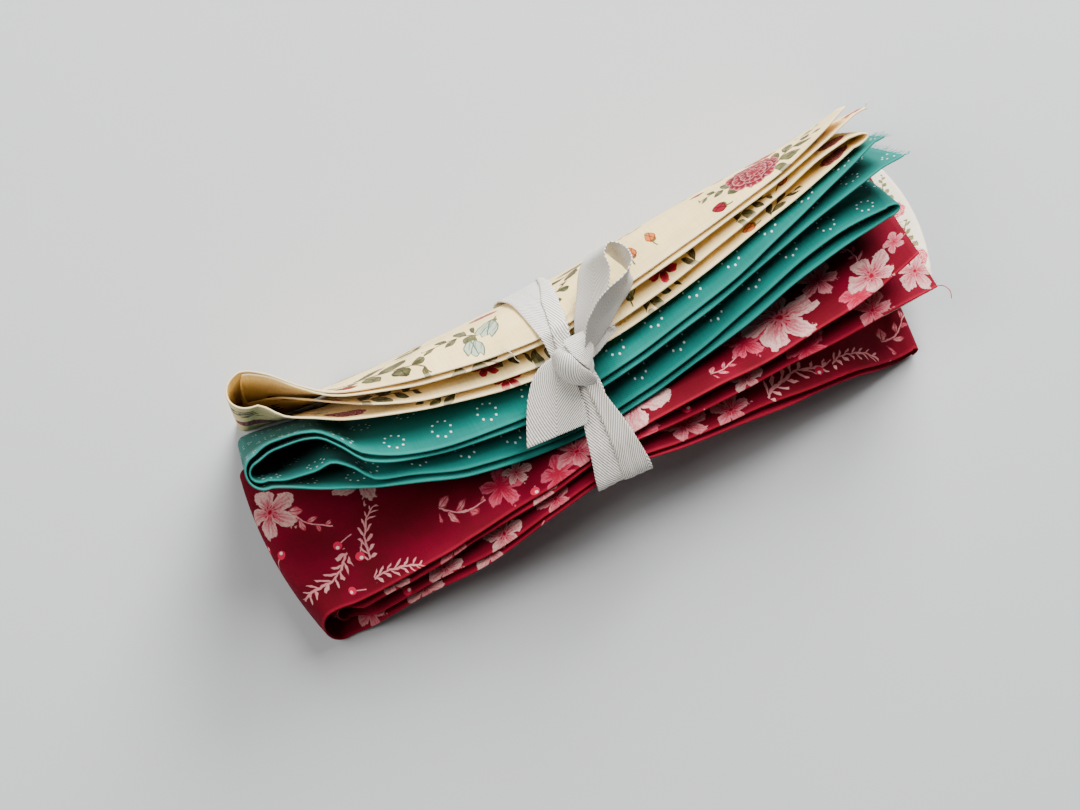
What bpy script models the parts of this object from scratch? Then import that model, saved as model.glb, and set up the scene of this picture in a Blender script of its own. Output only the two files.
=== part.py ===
"""A bundle of folded cottons standing on their long edges, tied round the middle with a twill tape.

Each cotton is one long strip, folded back and forth into leaves that lie side by side. The bundle
has slumped, so that its leaves fan over from the upright cream cloth to the low red one.
Lengths are in millimetres until a mesh is made, and angles are in degrees. X runs along the bundle
towards its raw ends, and Y from the red cloth towards the cream one.
"""
import math
from collections import namedtuple

import bmesh
import bpy
import numpy as np

MM = 0.001
SHEET = 1.0
TAPE = 1.0
COLLECTION = "fabric_bundle"

# The straight lower edge of the cream cloth, from which the feet of all the cloths are measured.
EDGE_AT_ZERO = 39.8
EDGE_SLOPE = 0.027

TIE_X = 10.0
TIE_HALF = 13.0
TIE_RAMP = 12.0
TIE_LIFT = 1.5

END_RAMP = 45.0
ROWS_ACROSS = 3
LOOP_STEPS = 7

# Leaves are sampled at the same places along X in every cloth, so that neighbours stay parallel.
GRID = [-88, -84, -80, -76, -72, -68, -64, -60, -56, -50, -42, -33, -24, -14, -9, -3, 3, 10, 17,
        23, 29, 34, 42, 50, 58, 66, 74, 82, 90, 98, 106, 113, 119]

# One row for each section: foot is the distance of the lowest leaf's base from the cream edge,
# stack the slope of the line through the bases, pitch the spacing of the leaves.
Foot = namedtuple("Foot", "x foot stack pitch")
# One row for each section: how far each leaf leans from upright. Leaf 1 is on the cream side.
Lean = namedtuple("Lean", "x leaf1 leaf2 leaf3 leaf4")
# Where a loop or a raw end lies along X, at the rim and at the base.
End = namedtuple("End", "rim base")

CREAM_FEET = [
    Foot(-95, -2.0, 0, 1.80),
    Foot(-60, 3.0, 15, 1.55),
    Foot(10, 4.2, 30, 1.50),
    Foot(90, 4.5, 20, 1.50),
    Foot(130, 4.4, 15, 1.50),
]
CREAM_LEANS = [
    Lean(-92, 1.5, 2.0, 5.5, 6.0),
    Lean(-84, 1.0, 1.5, 6.5, 7.0),
    Lean(-78, 3.0, 3.5, 10.5, 12.0),
    Lean(-70, 9.0, 9.5, 13.5, 15.0),
    Lean(-62, 14.0, 14.5, 17.0, 18.5),
    Lean(-50, 18.0, 18.5, 21.0, 22.5),
    Lean(-33, 22.0, 22.5, 26.0, 27.5),
    Lean(10, 28.0, 28.5, 33.0, 35.0),
    Lean(48, 25.0, 25.5, 29.5, 32.0),
    Lean(96, 19.0, 19.5, 21.5, 24.0),
    Lean(112, 15.5, 16.5, 18.0, 21.0),
    Lean(130, 10.5, 13.0, 16.5, 17.5),
]

TEAL_FEET = [
    Foot(-95, 5.0, 10, 1.80),
    Foot(-60, 10.0, 25, 1.55),
    Foot(10, 12.0, 30, 1.50),
    Foot(90, 11.5, 28, 1.50),
    Foot(130, 10.6, 25, 1.50),
]
TEAL_LEANS = [
    Lean(-92, 18.0, 18.5, 23.0, 23.5),
    Lean(-86, 16.0, 16.5, 24.5, 25.5),
    Lean(-78, 15.5, 16.0, 24.5, 28.5),
    Lean(-72, 16.5, 17.0, 23.5, 30.5),
    Lean(-67, 20.5, 21.5, 26.5, 32.5),
    Lean(-62, 27.0, 28.0, 33.0, 34.5),
    Lean(-50, 33.0, 33.5, 37.5, 38.5),
    Lean(-33, 37.0, 37.5, 43.5, 44.5),
    Lean(10, 41.0, 42.0, 50.0, 51.0),
    Lean(48, 37.0, 38.0, 46.0, 47.5),
    Lean(96, 27.0, 29.5, 35.5, 38.5),
    Lean(112, 23.0, 27.0, 34.0, 37.0),
    Lean(130, 18.5, 24.5, 35.0, 36.5),
]

RED_FEET = [
    Foot(-95, 14.5, 45, 1.80),
    Foot(-65, 19.0, 45, 1.60),
    Foot(-38, 24.0, 35, 1.50),
    Foot(10, 27.0, 30, 1.50),
    Foot(66, 25.5, 36, 1.50),
    Foot(98, 24.5, 45, 1.55),
    Foot(130, 24.4, 50, 1.60),
]
RED_LEANS = [
    Lean(-97, 72.0, 75.0, 86.5, 89.4),
    Lean(-88, 71.5, 74.5, 85.0, 88.0),
    Lean(-80, 69.0, 71.5, 79.0, 82.0),
    Lean(-65, 64.5, 66.5, 71.5, 74.0),
    Lean(-50, 62.0, 63.5, 66.5, 68.0),
    Lean(-33, 59.0, 60.0, 62.0, 63.0),
    Lean(-15, 56.0, 56.5, 56.7, 57.0),
    Lean(10, 51.3, 51.7, 52.3, 52.5),
    Lean(32, 50.6, 54.3, 57.0, 57.5),
    Lean(48, 51.3, 56.4, 60.5, 61.5),
    Lean(66, 52.8, 57.6, 64.0, 65.5),
    Lean(98, 51.8, 59.1, 73.5, 75.0),
    Lean(110, 50.0, 59.0, 81.0, 83.0),
    Lean(119, 47.8, 59.0, 86.0, 88.5),
    Lean(130, 44.8, 59.1, 87.0, 89.4),
]

Cloth = namedtuple("Cloth", "name height feet leans colour left_root left_outer left_inner "
                            "right_root right_loop tip1 tip2 fold_bow")

CREAM = Cloth(
    name="cloth_cream", height=65.0, feet=CREAM_FEET, leans=CREAM_LEANS, colour=(0.86, 0.76, 0.56),
    left_root=End(-84.0, -93.0), left_outer=End(7.5, 3.0), left_inner=End(5.6, 1.3),
    right_root=End(124.0, 131.0), right_loop=End(6.0, 1.4),
    tip1=End(127.5, 133.0), tip2=End(133.5, 137.0), fold_bow=0.0)

TEAL = Cloth(
    name="cloth_teal", height=65.0, feet=TEAL_FEET, leans=TEAL_LEANS, colour=(0.03, 0.27, 0.23),
    left_root=End(-92.0, -96.0), left_outer=End(5.5, 3.0), left_inner=End(3.7, 1.3),
    right_root=End(125.5, 132.5), right_loop=End(4.6, 1.4),
    tip1=End(134.3, 135.5), tip2=End(137.3, 137.0), fold_bow=0.0)

RED = Cloth(
    name="cloth_red", height=64.0, feet=RED_FEET, leans=RED_LEANS, colour=(0.36, 0.0, 0.02),
    left_root=End(-95.0, -99.0), left_outer=End(5.0, 4.0), left_inner=End(3.2, 1.6),
    right_root=End(122.5, 131.5), right_loop=End(2.3, 1.6),
    tip1=End(128.5, 138.5), tip2=End(132.0, 140.0), fold_bow=-3.5)

# The fourth cloth lies between the second and third leaves of the red one. Only its fold shows.
WHITE_HEIGHT = 57.0
WHITE_COLOUR = (0.72, 0.69, 0.62)
WHITE_TAIL = End(-40.0, -41.0)
WHITE_ROOT = End(131.0, 142.0)
WHITE_LOOP = End(2.4, 2.2)
WHITE_BOW = 5.0
WHITE_OPENS = (-66.0, -44.0)
# For each white leaf, its place among the red ones, and how far it leans from the second towards the third.
Between = namedtuple("Between", "place share")
WHITE_LEAVES = [Between(3.0, 0.12), Between(2.0, 0.24)]

TAPE_COLOUR = (0.75, 0.72, 0.66)
WRAP_CLEAR = 0.6
WRAP_STEP = 8.0
CORNER_STEP = 0.9
SUPPORT_ANGLES = 72
TAIL_TOP = 46.0
UNDER_TOP = 20.0
UNDER_WIDTH = 19.0

# One row for each place across the bundle: x is Y where the row holds, then the band's width and middle.
Band = namedtuple("Band", "x width middle")
WRAP_TOP = [
    Band(-38, 19.0, 10.2),
    Band(-24, 13.5, 11.0),
    Band(-11, 8.5, 11.2),
    Band(4, 8.5, 9.5),
    Band(14, 11.5, 10.5),
    Band(27, 16.0, 11.5),
    Band(39, 19.0, 12.0),
]

# One row for each section of the free end that lies on the folds: its edges, and its height over them.
OnFolds = namedtuple("OnFolds", "x1 y1 x2 y2 lift")
TAIL = [
    OnFolds(5.0, 2.0, 8.3, -6.6, 2.6),
    OnFolds(0.6, 1.1, 8.7, -9.4, 2.3),
    OnFolds(-3.8, -1.7, 8.4, -12.2, 2.2),
    OnFolds(-7.6, -6.1, 8.2, -14.9, 2.2),
    OnFolds(-11.3, -12.3, 7.4, -17.9, 2.2),
    OnFolds(-14.7, -19.1, 6.2, -20.7, 2.2),
]
# One row for each section of a free band: its lower and upper edges.
Section = namedtuple("Section", "x1 y1 z1 x2 y2 z2")
LOOP = [
    Section(14.1, 1.1, 60.5, 17.0, 0.1, 66.0),
    Section(16.1, 5.2, 62.8, 20.3, 3.7, 68.0),
    Section(19.3, 9.9, 63.6, 25.8, 7.4, 72.5),
    Section(23.5, 15.5, 63.6, 30.0, 11.4, 76.5),
    Section(26.5, 20.7, 63.6, 32.9, 16.0, 79.0),
    Section(29.4, 24.0, 63.6, 33.4, 20.5, 80.5),
    Section(32.7, 26.3, 63.6, 36.2, 22.9, 81.0),
    Section(35.6, 25.3, 63.6, 39.2, 20.7, 81.5),
    Section(37.8, 20.8, 63.6, 40.4, 17.2, 81.5),
    Section(39.6, 16.3, 63.6, 39.3, 13.9, 82.0),
    Section(40.0, 12.8, 63.6, 34.9, 11.3, 82.0),
    Section(37.2, 9.6, 63.6, 29.6, 10.1, 81.5),
    Section(32.4, 6.8, 63.6, 25.1, 8.5, 80.0),
    Section(28.2, 3.9, 63.6, 22.1, 6.8, 77.0),
    Section(24.4, 1.7, 63.2, 18.9, 4.5, 74.0),
    Section(19.7, -0.7, 61.5, 16.1, 0.1, 68.0),
    Section(16.0, -2.8, 60.5, 13.6, -2.9, 65.0),
]
STUB = [
    Section(14.7, 2.3, 60.8, 15.4, -4.0, 60.2),
    Section(18.5, 3.2, 61.6, 19.1, -3.2, 61.2),
    Section(22.0, 3.4, 62.1, 22.6, -1.7, 61.8),
    Section(25.4, 3.1, 62.4, 25.8, -0.1, 62.1),
]

KNOT_CENTRE = (10.5, -3.4, 63.0)
KNOT_RADII = (7.0, 8.2, 5.0)
KNOT_TILT = 24.0
KNOT_SEGMENTS = 16
KNOT_RINGS = 10


def column(rows, name, x):
    """Value of a table's column at x, along a monotone cubic through its rows."""
    xs = [row.x for row in rows]
    ys = [getattr(row, name) for row in rows]
    if x <= xs[0]:
        return float(ys[0])
    if x >= xs[-1]:
        return float(ys[-1])
    slopes = [(y2 - y1) / (x2 - x1) for x1, x2, y1, y2 in zip(xs, xs[1:], ys, ys[1:])]
    tangents = [slopes[0]]
    for before, after in zip(slopes, slopes[1:]):
        same_way = before * after > 0
        tangents.append(2 * before * after / (before + after) if same_way else 0.0)
    tangents.append(slopes[-1])
    i = max(k for k, start in enumerate(xs[:-1]) if start <= x)
    length = xs[i + 1] - xs[i]
    t = (x - xs[i]) / length
    return (ys[i] * (2 * t ** 3 - 3 * t ** 2 + 1)
            + tangents[i] * length * (t ** 3 - 2 * t ** 2 + t)
            + ys[i + 1] * (3 * t ** 2 - 2 * t ** 3)
            + tangents[i + 1] * length * (t ** 3 - t ** 2))


def tie_lift(x):
    """The tape passes under the bundle, which it lifts by its own thickness."""
    outside = (abs(x - TIE_X) - TIE_HALF) / TIE_RAMP
    fade = min(1.0, max(0.0, 1.0 - outside))
    return TIE_LIFT * fade * fade * (3.0 - 2.0 * fade)


def slot(cloth, leaf, x):
    """Place of a leaf in its cloth, counted from the lowest. The red cloth opens for the white one."""
    place = 4.0 - leaf
    if cloth.name == RED.name and leaf <= 2:
        start, end = WHITE_OPENS
        place += 2.0 * min(1.0, max(0.0, (x - start) / (end - start)))
    return place


def base_point(cloth, place, lean, x):
    slope = math.radians(column(cloth.feet, "stack", x))
    pitch = column(cloth.feet, "pitch", x) / math.cos(slope - math.radians(lean))
    edge = EDGE_AT_ZERO + EDGE_SLOPE * x
    y = edge - column(cloth.feet, "foot", x) + place * pitch * math.cos(slope)
    z = place * pitch * math.sin(slope) + tie_lift(x) + SHEET / 2 * math.sin(math.radians(lean))
    return np.array([x, y, z])


def section(cloth, place, lean, x, base_x, height):
    """Base and rim of a leaf where its rim is at x and its base at base_x."""
    base = base_point(cloth, place, lean, base_x)
    angle = math.radians(lean)
    rim = np.array([x, base[1] - height * math.sin(angle), base[2] + height * math.cos(angle)])
    return base, rim


def run_of_stations(start, end):
    """Grid places from start to end, both included, in the direction of travel."""
    low, high = min(start, end), max(start, end)
    inner = [x for x in GRID if low + 2.5 < x < high - 2.5]
    stations = [low] + inner + [high]
    return stations if start < end else stations[::-1]


def base_x_at(x, left, right):
    """The base reaches past the rim at both ends of a leaf, and lies under it in the middle."""
    shift = 0.0
    if x < left.rim + END_RAMP:
        shift = (left.base - left.rim) * ((left.rim + END_RAMP - x) / END_RAMP) ** 2
    if x > right.rim - END_RAMP:
        shift = (right.base - right.rim) * ((x - right.rim + END_RAMP) / END_RAMP) ** 2
    return x + shift


def leaf_run(cloth, leaf, left, right, rightwards):
    stations = run_of_stations(left.rim, right.rim)
    if not rightwards:
        stations = stations[::-1]
    run = []
    for x in stations:
        lean = column(cloth.leans, "leaf%d" % leaf, x)
        base_x = base_x_at(x, left, right)
        run.append(section(cloth, slot(cloth, leaf, x), lean, x, base_x, cloth.height))
    return run


def loop(last, first, reach, side):
    """Half an ellipse from the end of one leaf to the start of the next, at base and rim."""
    sections = []
    for step in range(1, LOOP_STEPS):
        angle = math.pi * step / LOOP_STEPS
        pair = []
        for end, start, length in zip(last, first, (reach.base, reach.rim)):
            middle = (end + start) / 2
            nose = np.array([side * length, 0.0, 0.0])
            pair.append(middle + (end - middle) * math.cos(angle) + nose * math.sin(angle))
        sections.append(tuple(pair))
    return sections


def folded_strip(cloth):
    """Leaf 1 from its raw end, the outer loop, leaf 4, the right fold, leaf 3, the inner loop, leaf 2."""
    left, right = cloth.left_root, cloth.right_root
    leaf1 = leaf_run(cloth, 1, left, cloth.tip1, False)
    leaf4 = leaf_run(cloth, 4, left, right, True)
    leaf3 = leaf_run(cloth, 3, left, right, False)
    leaf2 = leaf_run(cloth, 2, left, cloth.tip2, True)
    outer = loop(leaf1[-1], leaf4[0], cloth.left_outer, -1)
    fold = loop(leaf4[-1], leaf3[0], cloth.right_loop, 1)
    inner = loop(leaf3[-1], leaf2[0], cloth.left_inner, -1)
    bows = ([0.0] * len(leaf1) + [cloth.fold_bow] * len(outer) + [0.0] * len(leaf4 + fold + leaf3)
            + [cloth.fold_bow] * len(inner) + [0.0] * len(leaf2))
    return leaf1 + outer + leaf4 + fold + leaf3 + inner + leaf2, bows


def white_strip():
    """Two leaves joined by a fold at the right, in the room between the red cloth's leaves."""
    runs = []
    for leaf in WHITE_LEAVES:
        run = []
        for x in run_of_stations(WHITE_TAIL.rim, WHITE_ROOT.rim):
            above = column(RED.leans, "leaf2", x)
            below = column(RED.leans, "leaf3", x)
            lean = above + (below - above) * leaf.share
            base_x = base_x_at(x, WHITE_TAIL, WHITE_ROOT)
            run.append(section(RED, leaf.place, lean, x, base_x, WHITE_HEIGHT))
        runs.append(run)
    upper, lower = runs
    fold = loop(upper[-1], lower[-1], WHITE_LOOP, 1)
    bows = [0.0] * len(upper) + [WHITE_BOW] * len(fold) + [0.0] * len(lower)
    return upper + fold + lower[::-1], bows


def smooth_bows(bows):
    """Spread the sideways bow of a loop over the stations beside it."""
    spread = np.array(bows)
    for weight in (0.5, 0.5):
        before = np.concatenate(([spread[0]], spread[:-1]))
        after = np.concatenate((spread[1:], [spread[-1]]))
        spread = spread * (1 - weight) + (before + after) * weight / 2
    return spread


def strip_points(sections, bows, rows):
    """Grid of points across a strip, bowed along X where its end is curved."""
    grid = []
    for (base, rim), bow in zip(sections, smooth_bows(bows)):
        line = []
        for row in range(rows):
            v = row / (rows - 1)
            point = base * (1 - v) + rim * v
            point = point + np.array([bow * 4 * v * (1 - v), 0.0, 0.0])
            line.append(point)
        grid.append(line)
    return grid


def sheet_object(name, grid, closed, thickness, material, collection):
    """An open surface lofted through the grid, given its thickness by Solidify."""
    mesh = bpy.data.meshes.new(name)
    shape = bmesh.new()
    rows = [[shape.verts.new(point * MM) for point in line] for line in grid]
    pairs = list(zip(rows, rows[1:]))
    if closed:
        pairs.append((rows[-1], rows[0]))
    for line, following in pairs:
        for i in range(len(line) - 1):
            shape.faces.new((line[i], line[i + 1], following[i + 1], following[i]))
    bmesh.ops.recalc_face_normals(shape, faces=shape.faces)
    shape.to_mesh(mesh)
    shape.free()
    for polygon in mesh.polygons:
        polygon.use_smooth = True
    item = bpy.data.objects.new(name, mesh)
    collection.objects.link(item)
    item.data.materials.append(material)
    solidify = item.modifiers.new("thickness", "SOLIDIFY")
    solidify.thickness = thickness * MM
    solidify.offset = 0.0
    return item


def cloth_material(name, colour):
    material = bpy.data.materials.new(name)
    material.use_nodes = True
    shader = material.node_tree.nodes["Principled BSDF"]
    shader.inputs["Base Color"].default_value = (*colour, 1.0)
    shader.inputs["Roughness"].default_value = 0.9
    shader.inputs["Metallic"].default_value = 0.0
    return material


def tie_outline(strips):
    """Outline of the bundle at the tape, a little outside the folds."""
    points = []
    for sections in strips:
        for base, rim in sections:
            if abs(rim[0] - TIE_X) <= TIE_HALF:
                points.append((base[1], base[2]))
                points.append((rim[1], rim[2]))
    points = np.array(points)
    clear = SHEET / 2 + WRAP_CLEAR + TAPE / 2
    ring = []
    for step in range(SUPPORT_ANGLES):
        angle = 2 * math.pi * step / SUPPORT_ANGLES
        outward = np.array([math.cos(angle), math.sin(angle)])
        farthest = points[np.argmax(points @ outward)]
        ring.append(farthest + outward * clear)
    ring = np.array(ring)
    ring[:, 1] = np.where(ring[:, 1] < TAPE, TAPE / 2, ring[:, 1])
    kept = [ring[0]]
    for point in ring[1:]:
        if np.linalg.norm(point - kept[-1]) > CORNER_STEP:
            kept.append(point)
    outline = []
    for point, following in zip(kept, kept[1:] + kept[:1]):
        parts = max(1, round(np.linalg.norm(following - point) / WRAP_STEP))
        outline.extend(tuple(point + (following - point) * part / parts) for part in range(parts))
    return outline


def wrap_grid(outline):
    grid = []
    for y, z in outline:
        width = column(WRAP_TOP, "width", y)
        middle = column(WRAP_TOP, "middle", y)
        if z < UNDER_TOP:
            width, middle = UNDER_WIDTH, TIE_X
        grid.append([np.array([middle + side * width / 2, y, z]) for side in (-1, 0, 1)])
    return grid


def tail_grid(outline):
    """The free end, at its heights over the line that the wrap takes across the rims."""
    top = sorted(point for point in outline if point[1] > TAIL_TOP)
    ys = [point[0] for point in top]
    zs = [point[1] for point in top]
    sections = []
    for row in TAIL:
        z1 = float(np.interp(row.y1, ys, zs)) + row.lift
        z2 = float(np.interp(row.y2, ys, zs)) + row.lift
        sections.append(Section(row.x1, row.y1, z1, row.x2, row.y2, z2))
    return section_grid(sections)


def section_grid(sections):
    grid = []
    for row in sections:
        first = np.array([row.x1, row.y1, row.z1])
        second = np.array([row.x2, row.y2, row.z2])
        grid.append([first, (first + second) / 2, second])
    return grid


def knot_object(name, material, collection):
    bpy.ops.mesh.primitive_uv_sphere_add(segments=KNOT_SEGMENTS, ring_count=KNOT_RINGS, radius=1.0)
    knot = bpy.context.active_object
    knot.name = name
    for vertex in knot.data.vertices:
        vertex.co = [value * radius * MM for value, radius in zip(vertex.co, KNOT_RADII)]
    knot.location = [value * MM for value in KNOT_CENTRE]
    knot.rotation_euler = (math.radians(KNOT_TILT), 0.0, 0.0)
    knot.data.materials.append(material)
    for owner in list(knot.users_collection):
        owner.objects.unlink(knot)
    collection.objects.link(knot)
    return knot


def join_tape(strips, material, parts, cutters):
    """The wrap with its knot, bow loop, stub and tail joined to it."""
    outline = tie_outline(strips)
    tape = sheet_object("tape_tie", wrap_grid(outline), True, TAPE, material, parts)
    pieces = [knot_object("knot", material, cutters)]
    bands = (("bow_loop", section_grid(LOOP)), ("stub", section_grid(STUB)), ("tail", tail_grid(outline)))
    for name, grid in bands:
        pieces.append(sheet_object(name, grid, False, TAPE, material, cutters))
    for piece in pieces:
        piece.hide_render = True
        piece.display_type = "WIRE"
        join = tape.modifiers.new("join_" + piece.name, "BOOLEAN")
        join.operation = "UNION"
        join.solver = "EXACT"
        join.object = piece
    return tape


def centre_over_origin(items):
    """Move everything along X and Y so that the bundle's box stands centred over the origin."""
    bpy.context.view_layer.update()
    graph = bpy.context.evaluated_depsgraph_get()
    corners = []
    for item in items:
        evaluated = item.evaluated_get(graph)
        corners.extend(evaluated.matrix_world @ vertex.co for vertex in evaluated.data.vertices)
    low = [min(corner[axis] for corner in corners) for axis in range(2)]
    high = [max(corner[axis] for corner in corners) for axis in range(2)]
    for item in bpy.data.objects:
        item.location.x -= (low[0] + high[0]) / 2
        item.location.y -= (low[1] + high[1]) / 2


def build():
    for item in list(bpy.data.objects):
        bpy.data.objects.remove(item)
    parts = bpy.data.collections.new(COLLECTION)
    cutters = bpy.data.collections.new("joined_to_the_tape")
    bpy.context.scene.collection.children.link(parts)
    bpy.context.scene.collection.children.link(cutters)
    items = []
    strips = []
    for cloth in (CREAM, TEAL, RED):
        sections, bows = folded_strip(cloth)
        strips.append(sections)
        grid = strip_points(sections, bows, ROWS_ACROSS)
        material = cloth_material(cloth.name, cloth.colour)
        items.append(sheet_object(cloth.name, grid, False, SHEET, material, parts))
    sections, bows = white_strip()
    grid = strip_points(sections, bows, ROWS_ACROSS)
    material = cloth_material("cloth_white", WHITE_COLOUR)
    items.append(sheet_object("cloth_white", grid, False, SHEET, material, parts))
    items.append(join_tape(strips, cloth_material("tape_tie", TAPE_COLOUR), parts, cutters))
    centre_over_origin(items)


build()
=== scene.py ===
"""The tied bundle of printed cottons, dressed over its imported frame.

Each cotton is one long strip, folded back and forth on the lines of its solid, with rounded folds
along its upper and lower edges and its print laid along the strip. The twill tape is wound, knotted
and looped from bands of its own width. Lengths are in millimetres until a mesh is made, and angles
in degrees.
"""
import math
from collections import namedtuple

import bpy
import numpy as np
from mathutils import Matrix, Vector


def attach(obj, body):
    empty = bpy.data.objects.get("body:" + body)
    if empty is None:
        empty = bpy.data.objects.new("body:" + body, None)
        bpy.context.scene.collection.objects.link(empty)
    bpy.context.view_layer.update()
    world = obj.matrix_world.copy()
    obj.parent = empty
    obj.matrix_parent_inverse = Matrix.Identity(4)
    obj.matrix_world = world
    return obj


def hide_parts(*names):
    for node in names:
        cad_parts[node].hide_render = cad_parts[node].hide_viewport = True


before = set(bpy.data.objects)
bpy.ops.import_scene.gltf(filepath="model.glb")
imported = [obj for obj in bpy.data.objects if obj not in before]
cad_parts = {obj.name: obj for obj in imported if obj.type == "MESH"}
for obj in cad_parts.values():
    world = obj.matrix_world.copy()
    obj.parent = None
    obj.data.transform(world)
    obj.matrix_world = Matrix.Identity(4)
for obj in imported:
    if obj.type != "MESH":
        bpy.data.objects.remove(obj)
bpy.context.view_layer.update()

MM = 0.001
# From the middle of the bundle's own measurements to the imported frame's origin.
TO_FRAME = np.array([-19.614, 0.189, 0.0])

# The bundle's own sizes, as in the part's source
SHEET = 1.0
TAPE = 1.0
EDGE_AT_ZERO = 39.8
EDGE_SLOPE = 0.027
TIE_X = 10.0
TIE_HALF = 13.0
TIE_RAMP = 12.0
TIE_LIFT = 1.5
END_RAMP = 45.0


def table(kind, *rows):
    """Rows of values, each as one of its kind."""
    return [kind(*row) for row in rows]


Foot = namedtuple("Foot", "x foot stack pitch")
Lean = namedtuple("Lean", "x leaf1 leaf2 leaf3 leaf4")
End = namedtuple("End", "rim base")

CREAM_FEET = table(
    Foot, (-95, -2.0, 0, 1.80), (-60, 3.0, 15, 1.55), (10, 4.2, 30, 1.50), (90, 4.5, 20, 1.50),
    (130, 4.4, 15, 1.50))
CREAM_LEANS = table(
    Lean, (-92, 1.5, 0.6, 0.4, 6.0), (-84, 1.0, 0.1, 0.0, 7.0), (-78, 3.0, 2.2, 2.2, 12.0),
    (-70, 9.0, 8.4, 9.0, 15.0), (-62, 14.0, 13.6, 14.6, 18.5), (-50, 18.0, 18.0, 20.4, 22.5),
    (-33, 22.0, 22.5, 26.0, 27.5), (10, 28.0, 28.5, 33.0, 35.0), (48, 25.0, 25.5, 29.5, 32.0),
    (96, 19.0, 19.5, 21.5, 24.0), (112, 15.5, 16.5, 18.0, 21.0), (130, 10.5, 13.0, 16.5, 17.5))
TEAL_FEET = table(
    Foot, (-95, 5.0, 10, 1.80), (-60, 10.0, 25, 1.55), (10, 12.0, 30, 1.50), (90, 11.5, 28, 1.50),
    (130, 10.6, 25, 1.50))
TEAL_LEANS = table(
    Lean, (-92, 18.0, 18.5, 23.0, 23.5), (-86, 16.0, 16.5, 24.5, 25.5), (-78, 15.5, 16.0, 24.5, 28.5),
    (-72, 16.5, 17.0, 23.5, 30.5), (-67, 20.5, 21.5, 26.5, 32.5), (-62, 27.0, 28.0, 33.0, 34.5),
    (-50, 33.0, 33.5, 37.5, 38.5), (-33, 37.0, 37.5, 43.5, 44.5), (10, 41.0, 42.0, 50.0, 51.0),
    (48, 37.0, 38.0, 46.0, 47.5), (96, 27.0, 29.5, 35.5, 38.5), (112, 23.0, 27.0, 34.0, 37.0),
    (130, 18.5, 24.5, 35.0, 36.5))
RED_FEET = table(
    Foot, (-95, 14.5, 45, 1.80), (-65, 19.0, 45, 1.60), (-38, 24.0, 35, 1.50), (10, 27.0, 30, 1.50),
    (66, 25.5, 36, 1.50), (98, 24.5, 45, 1.55), (130, 24.4, 50, 1.60))
RED_LEANS = table(
    Lean, (-97, 72.0, 75.0, 86.5, 89.4), (-88, 71.5, 74.5, 85.0, 88.0), (-80, 69.0, 71.5, 79.0, 82.0),
    (-65, 64.5, 66.5, 71.5, 74.0), (-50, 62.0, 63.5, 66.5, 68.0), (-33, 59.0, 60.0, 62.0, 63.0),
    (-15, 56.0, 56.5, 56.7, 57.0), (10, 51.3, 51.7, 52.3, 52.5), (32, 50.6, 54.3, 57.0, 57.5),
    (48, 51.3, 56.4, 60.5, 61.5), (66, 52.8, 57.6, 64.0, 65.5), (98, 51.8, 59.1, 73.5, 75.0),
    (110, 50.0, 59.0, 81.0, 83.0), (119, 47.8, 59.0, 86.0, 88.5), (130, 44.8, 59.1, 87.0, 89.4))

Cloth = namedtuple("Cloth", "name height feet leans left_root inner_root left_outer left_inner "
                            "right_root right_loop tip1 tip2 fold_bow")
CREAM = Cloth(
    name="cloth_cream", height=65.0, feet=CREAM_FEET, leans=CREAM_LEANS,
    left_root=End(-84.0, -93.0), inner_root=End(-84.0, -92.0),
    left_outer=End(7.5, 3.0), left_inner=End(1.0, 1.1),
    right_root=End(124.0, 131.0), right_loop=End(6.0, 1.4),
    tip1=End(127.5, 133.0), tip2=End(133.5, 137.0), fold_bow=0.0)
TEAL = Cloth(
    name="cloth_teal", height=65.0, feet=TEAL_FEET, leans=TEAL_LEANS,
    left_root=End(-92.0, -96.0), inner_root=End(-92.0, -95.0),
    left_outer=End(5.5, 3.0), left_inner=End(4.3, 1.9),
    right_root=End(125.5, 132.5), right_loop=End(4.6, 1.4),
    tip1=End(134.3, 135.5), tip2=End(137.3, 137.0), fold_bow=0.0)
RED = Cloth(
    name="cloth_red", height=64.0, feet=RED_FEET, leans=RED_LEANS,
    left_root=End(-95.0, -99.0), inner_root=End(-91.0, -96.0),
    left_outer=End(5.0, 4.0), left_inner=End(3.0, 1.6),
    right_root=End(122.5, 131.5), right_loop=End(2.3, 1.6),
    tip1=End(128.5, 138.5), tip2=End(132.0, 140.0), fold_bow=-3.5)

WHITE_HEIGHT = 57.0
WHITE_TAIL = End(-40.0, -41.0)
WHITE_ROOT = End(131.0, 142.0)
WHITE_LOOP = End(2.4, 2.2)
WHITE_BOW = 5.0
WHITE_OPENS = (-66.0, -44.0)
Between = namedtuple("Between", "place share")
WHITE_LEAVES = [Between(3.0, 0.12), Between(2.0, 0.24)]

WRAP_CLEAR = 0.6
SUPPORT_ANGLES = 72
CORNER_STEP = 0.9
UNDER_TOP = 20.0
OUTER_UNDER = 7.0
TAPE_WIDTH = 19.0
TAIL_TOP = 46.0
Band = namedtuple("Band", "x width middle")
WRAP_TOP = table(
    Band, (-38, 19.0, 10.2), (-24, 13.5, 11.0), (-11, 8.5, 11.2), (4, 8.5, 9.5), (14, 11.3, 10.2),
    (27, 15.0, 11.0), (39, 17.6, 11.3))
OnFolds = namedtuple("OnFolds", "x1 y1 x2 y2 lift")
TAIL = table(
    OnFolds, (5.0, 2.0, 8.3, -6.6, 2.6), (0.6, 1.1, 8.7, -9.4, 2.3), (-3.8, -1.7, 8.4, -12.2, 2.2),
    (-7.6, -6.1, 8.2, -14.9, 2.2), (-11.3, -12.3, 7.4, -17.9, 2.2), (-14.7, -19.1, 6.2, -20.7, 2.2))
Section = namedtuple("Section", "x1 y1 z1 x2 y2 z2")
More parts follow.
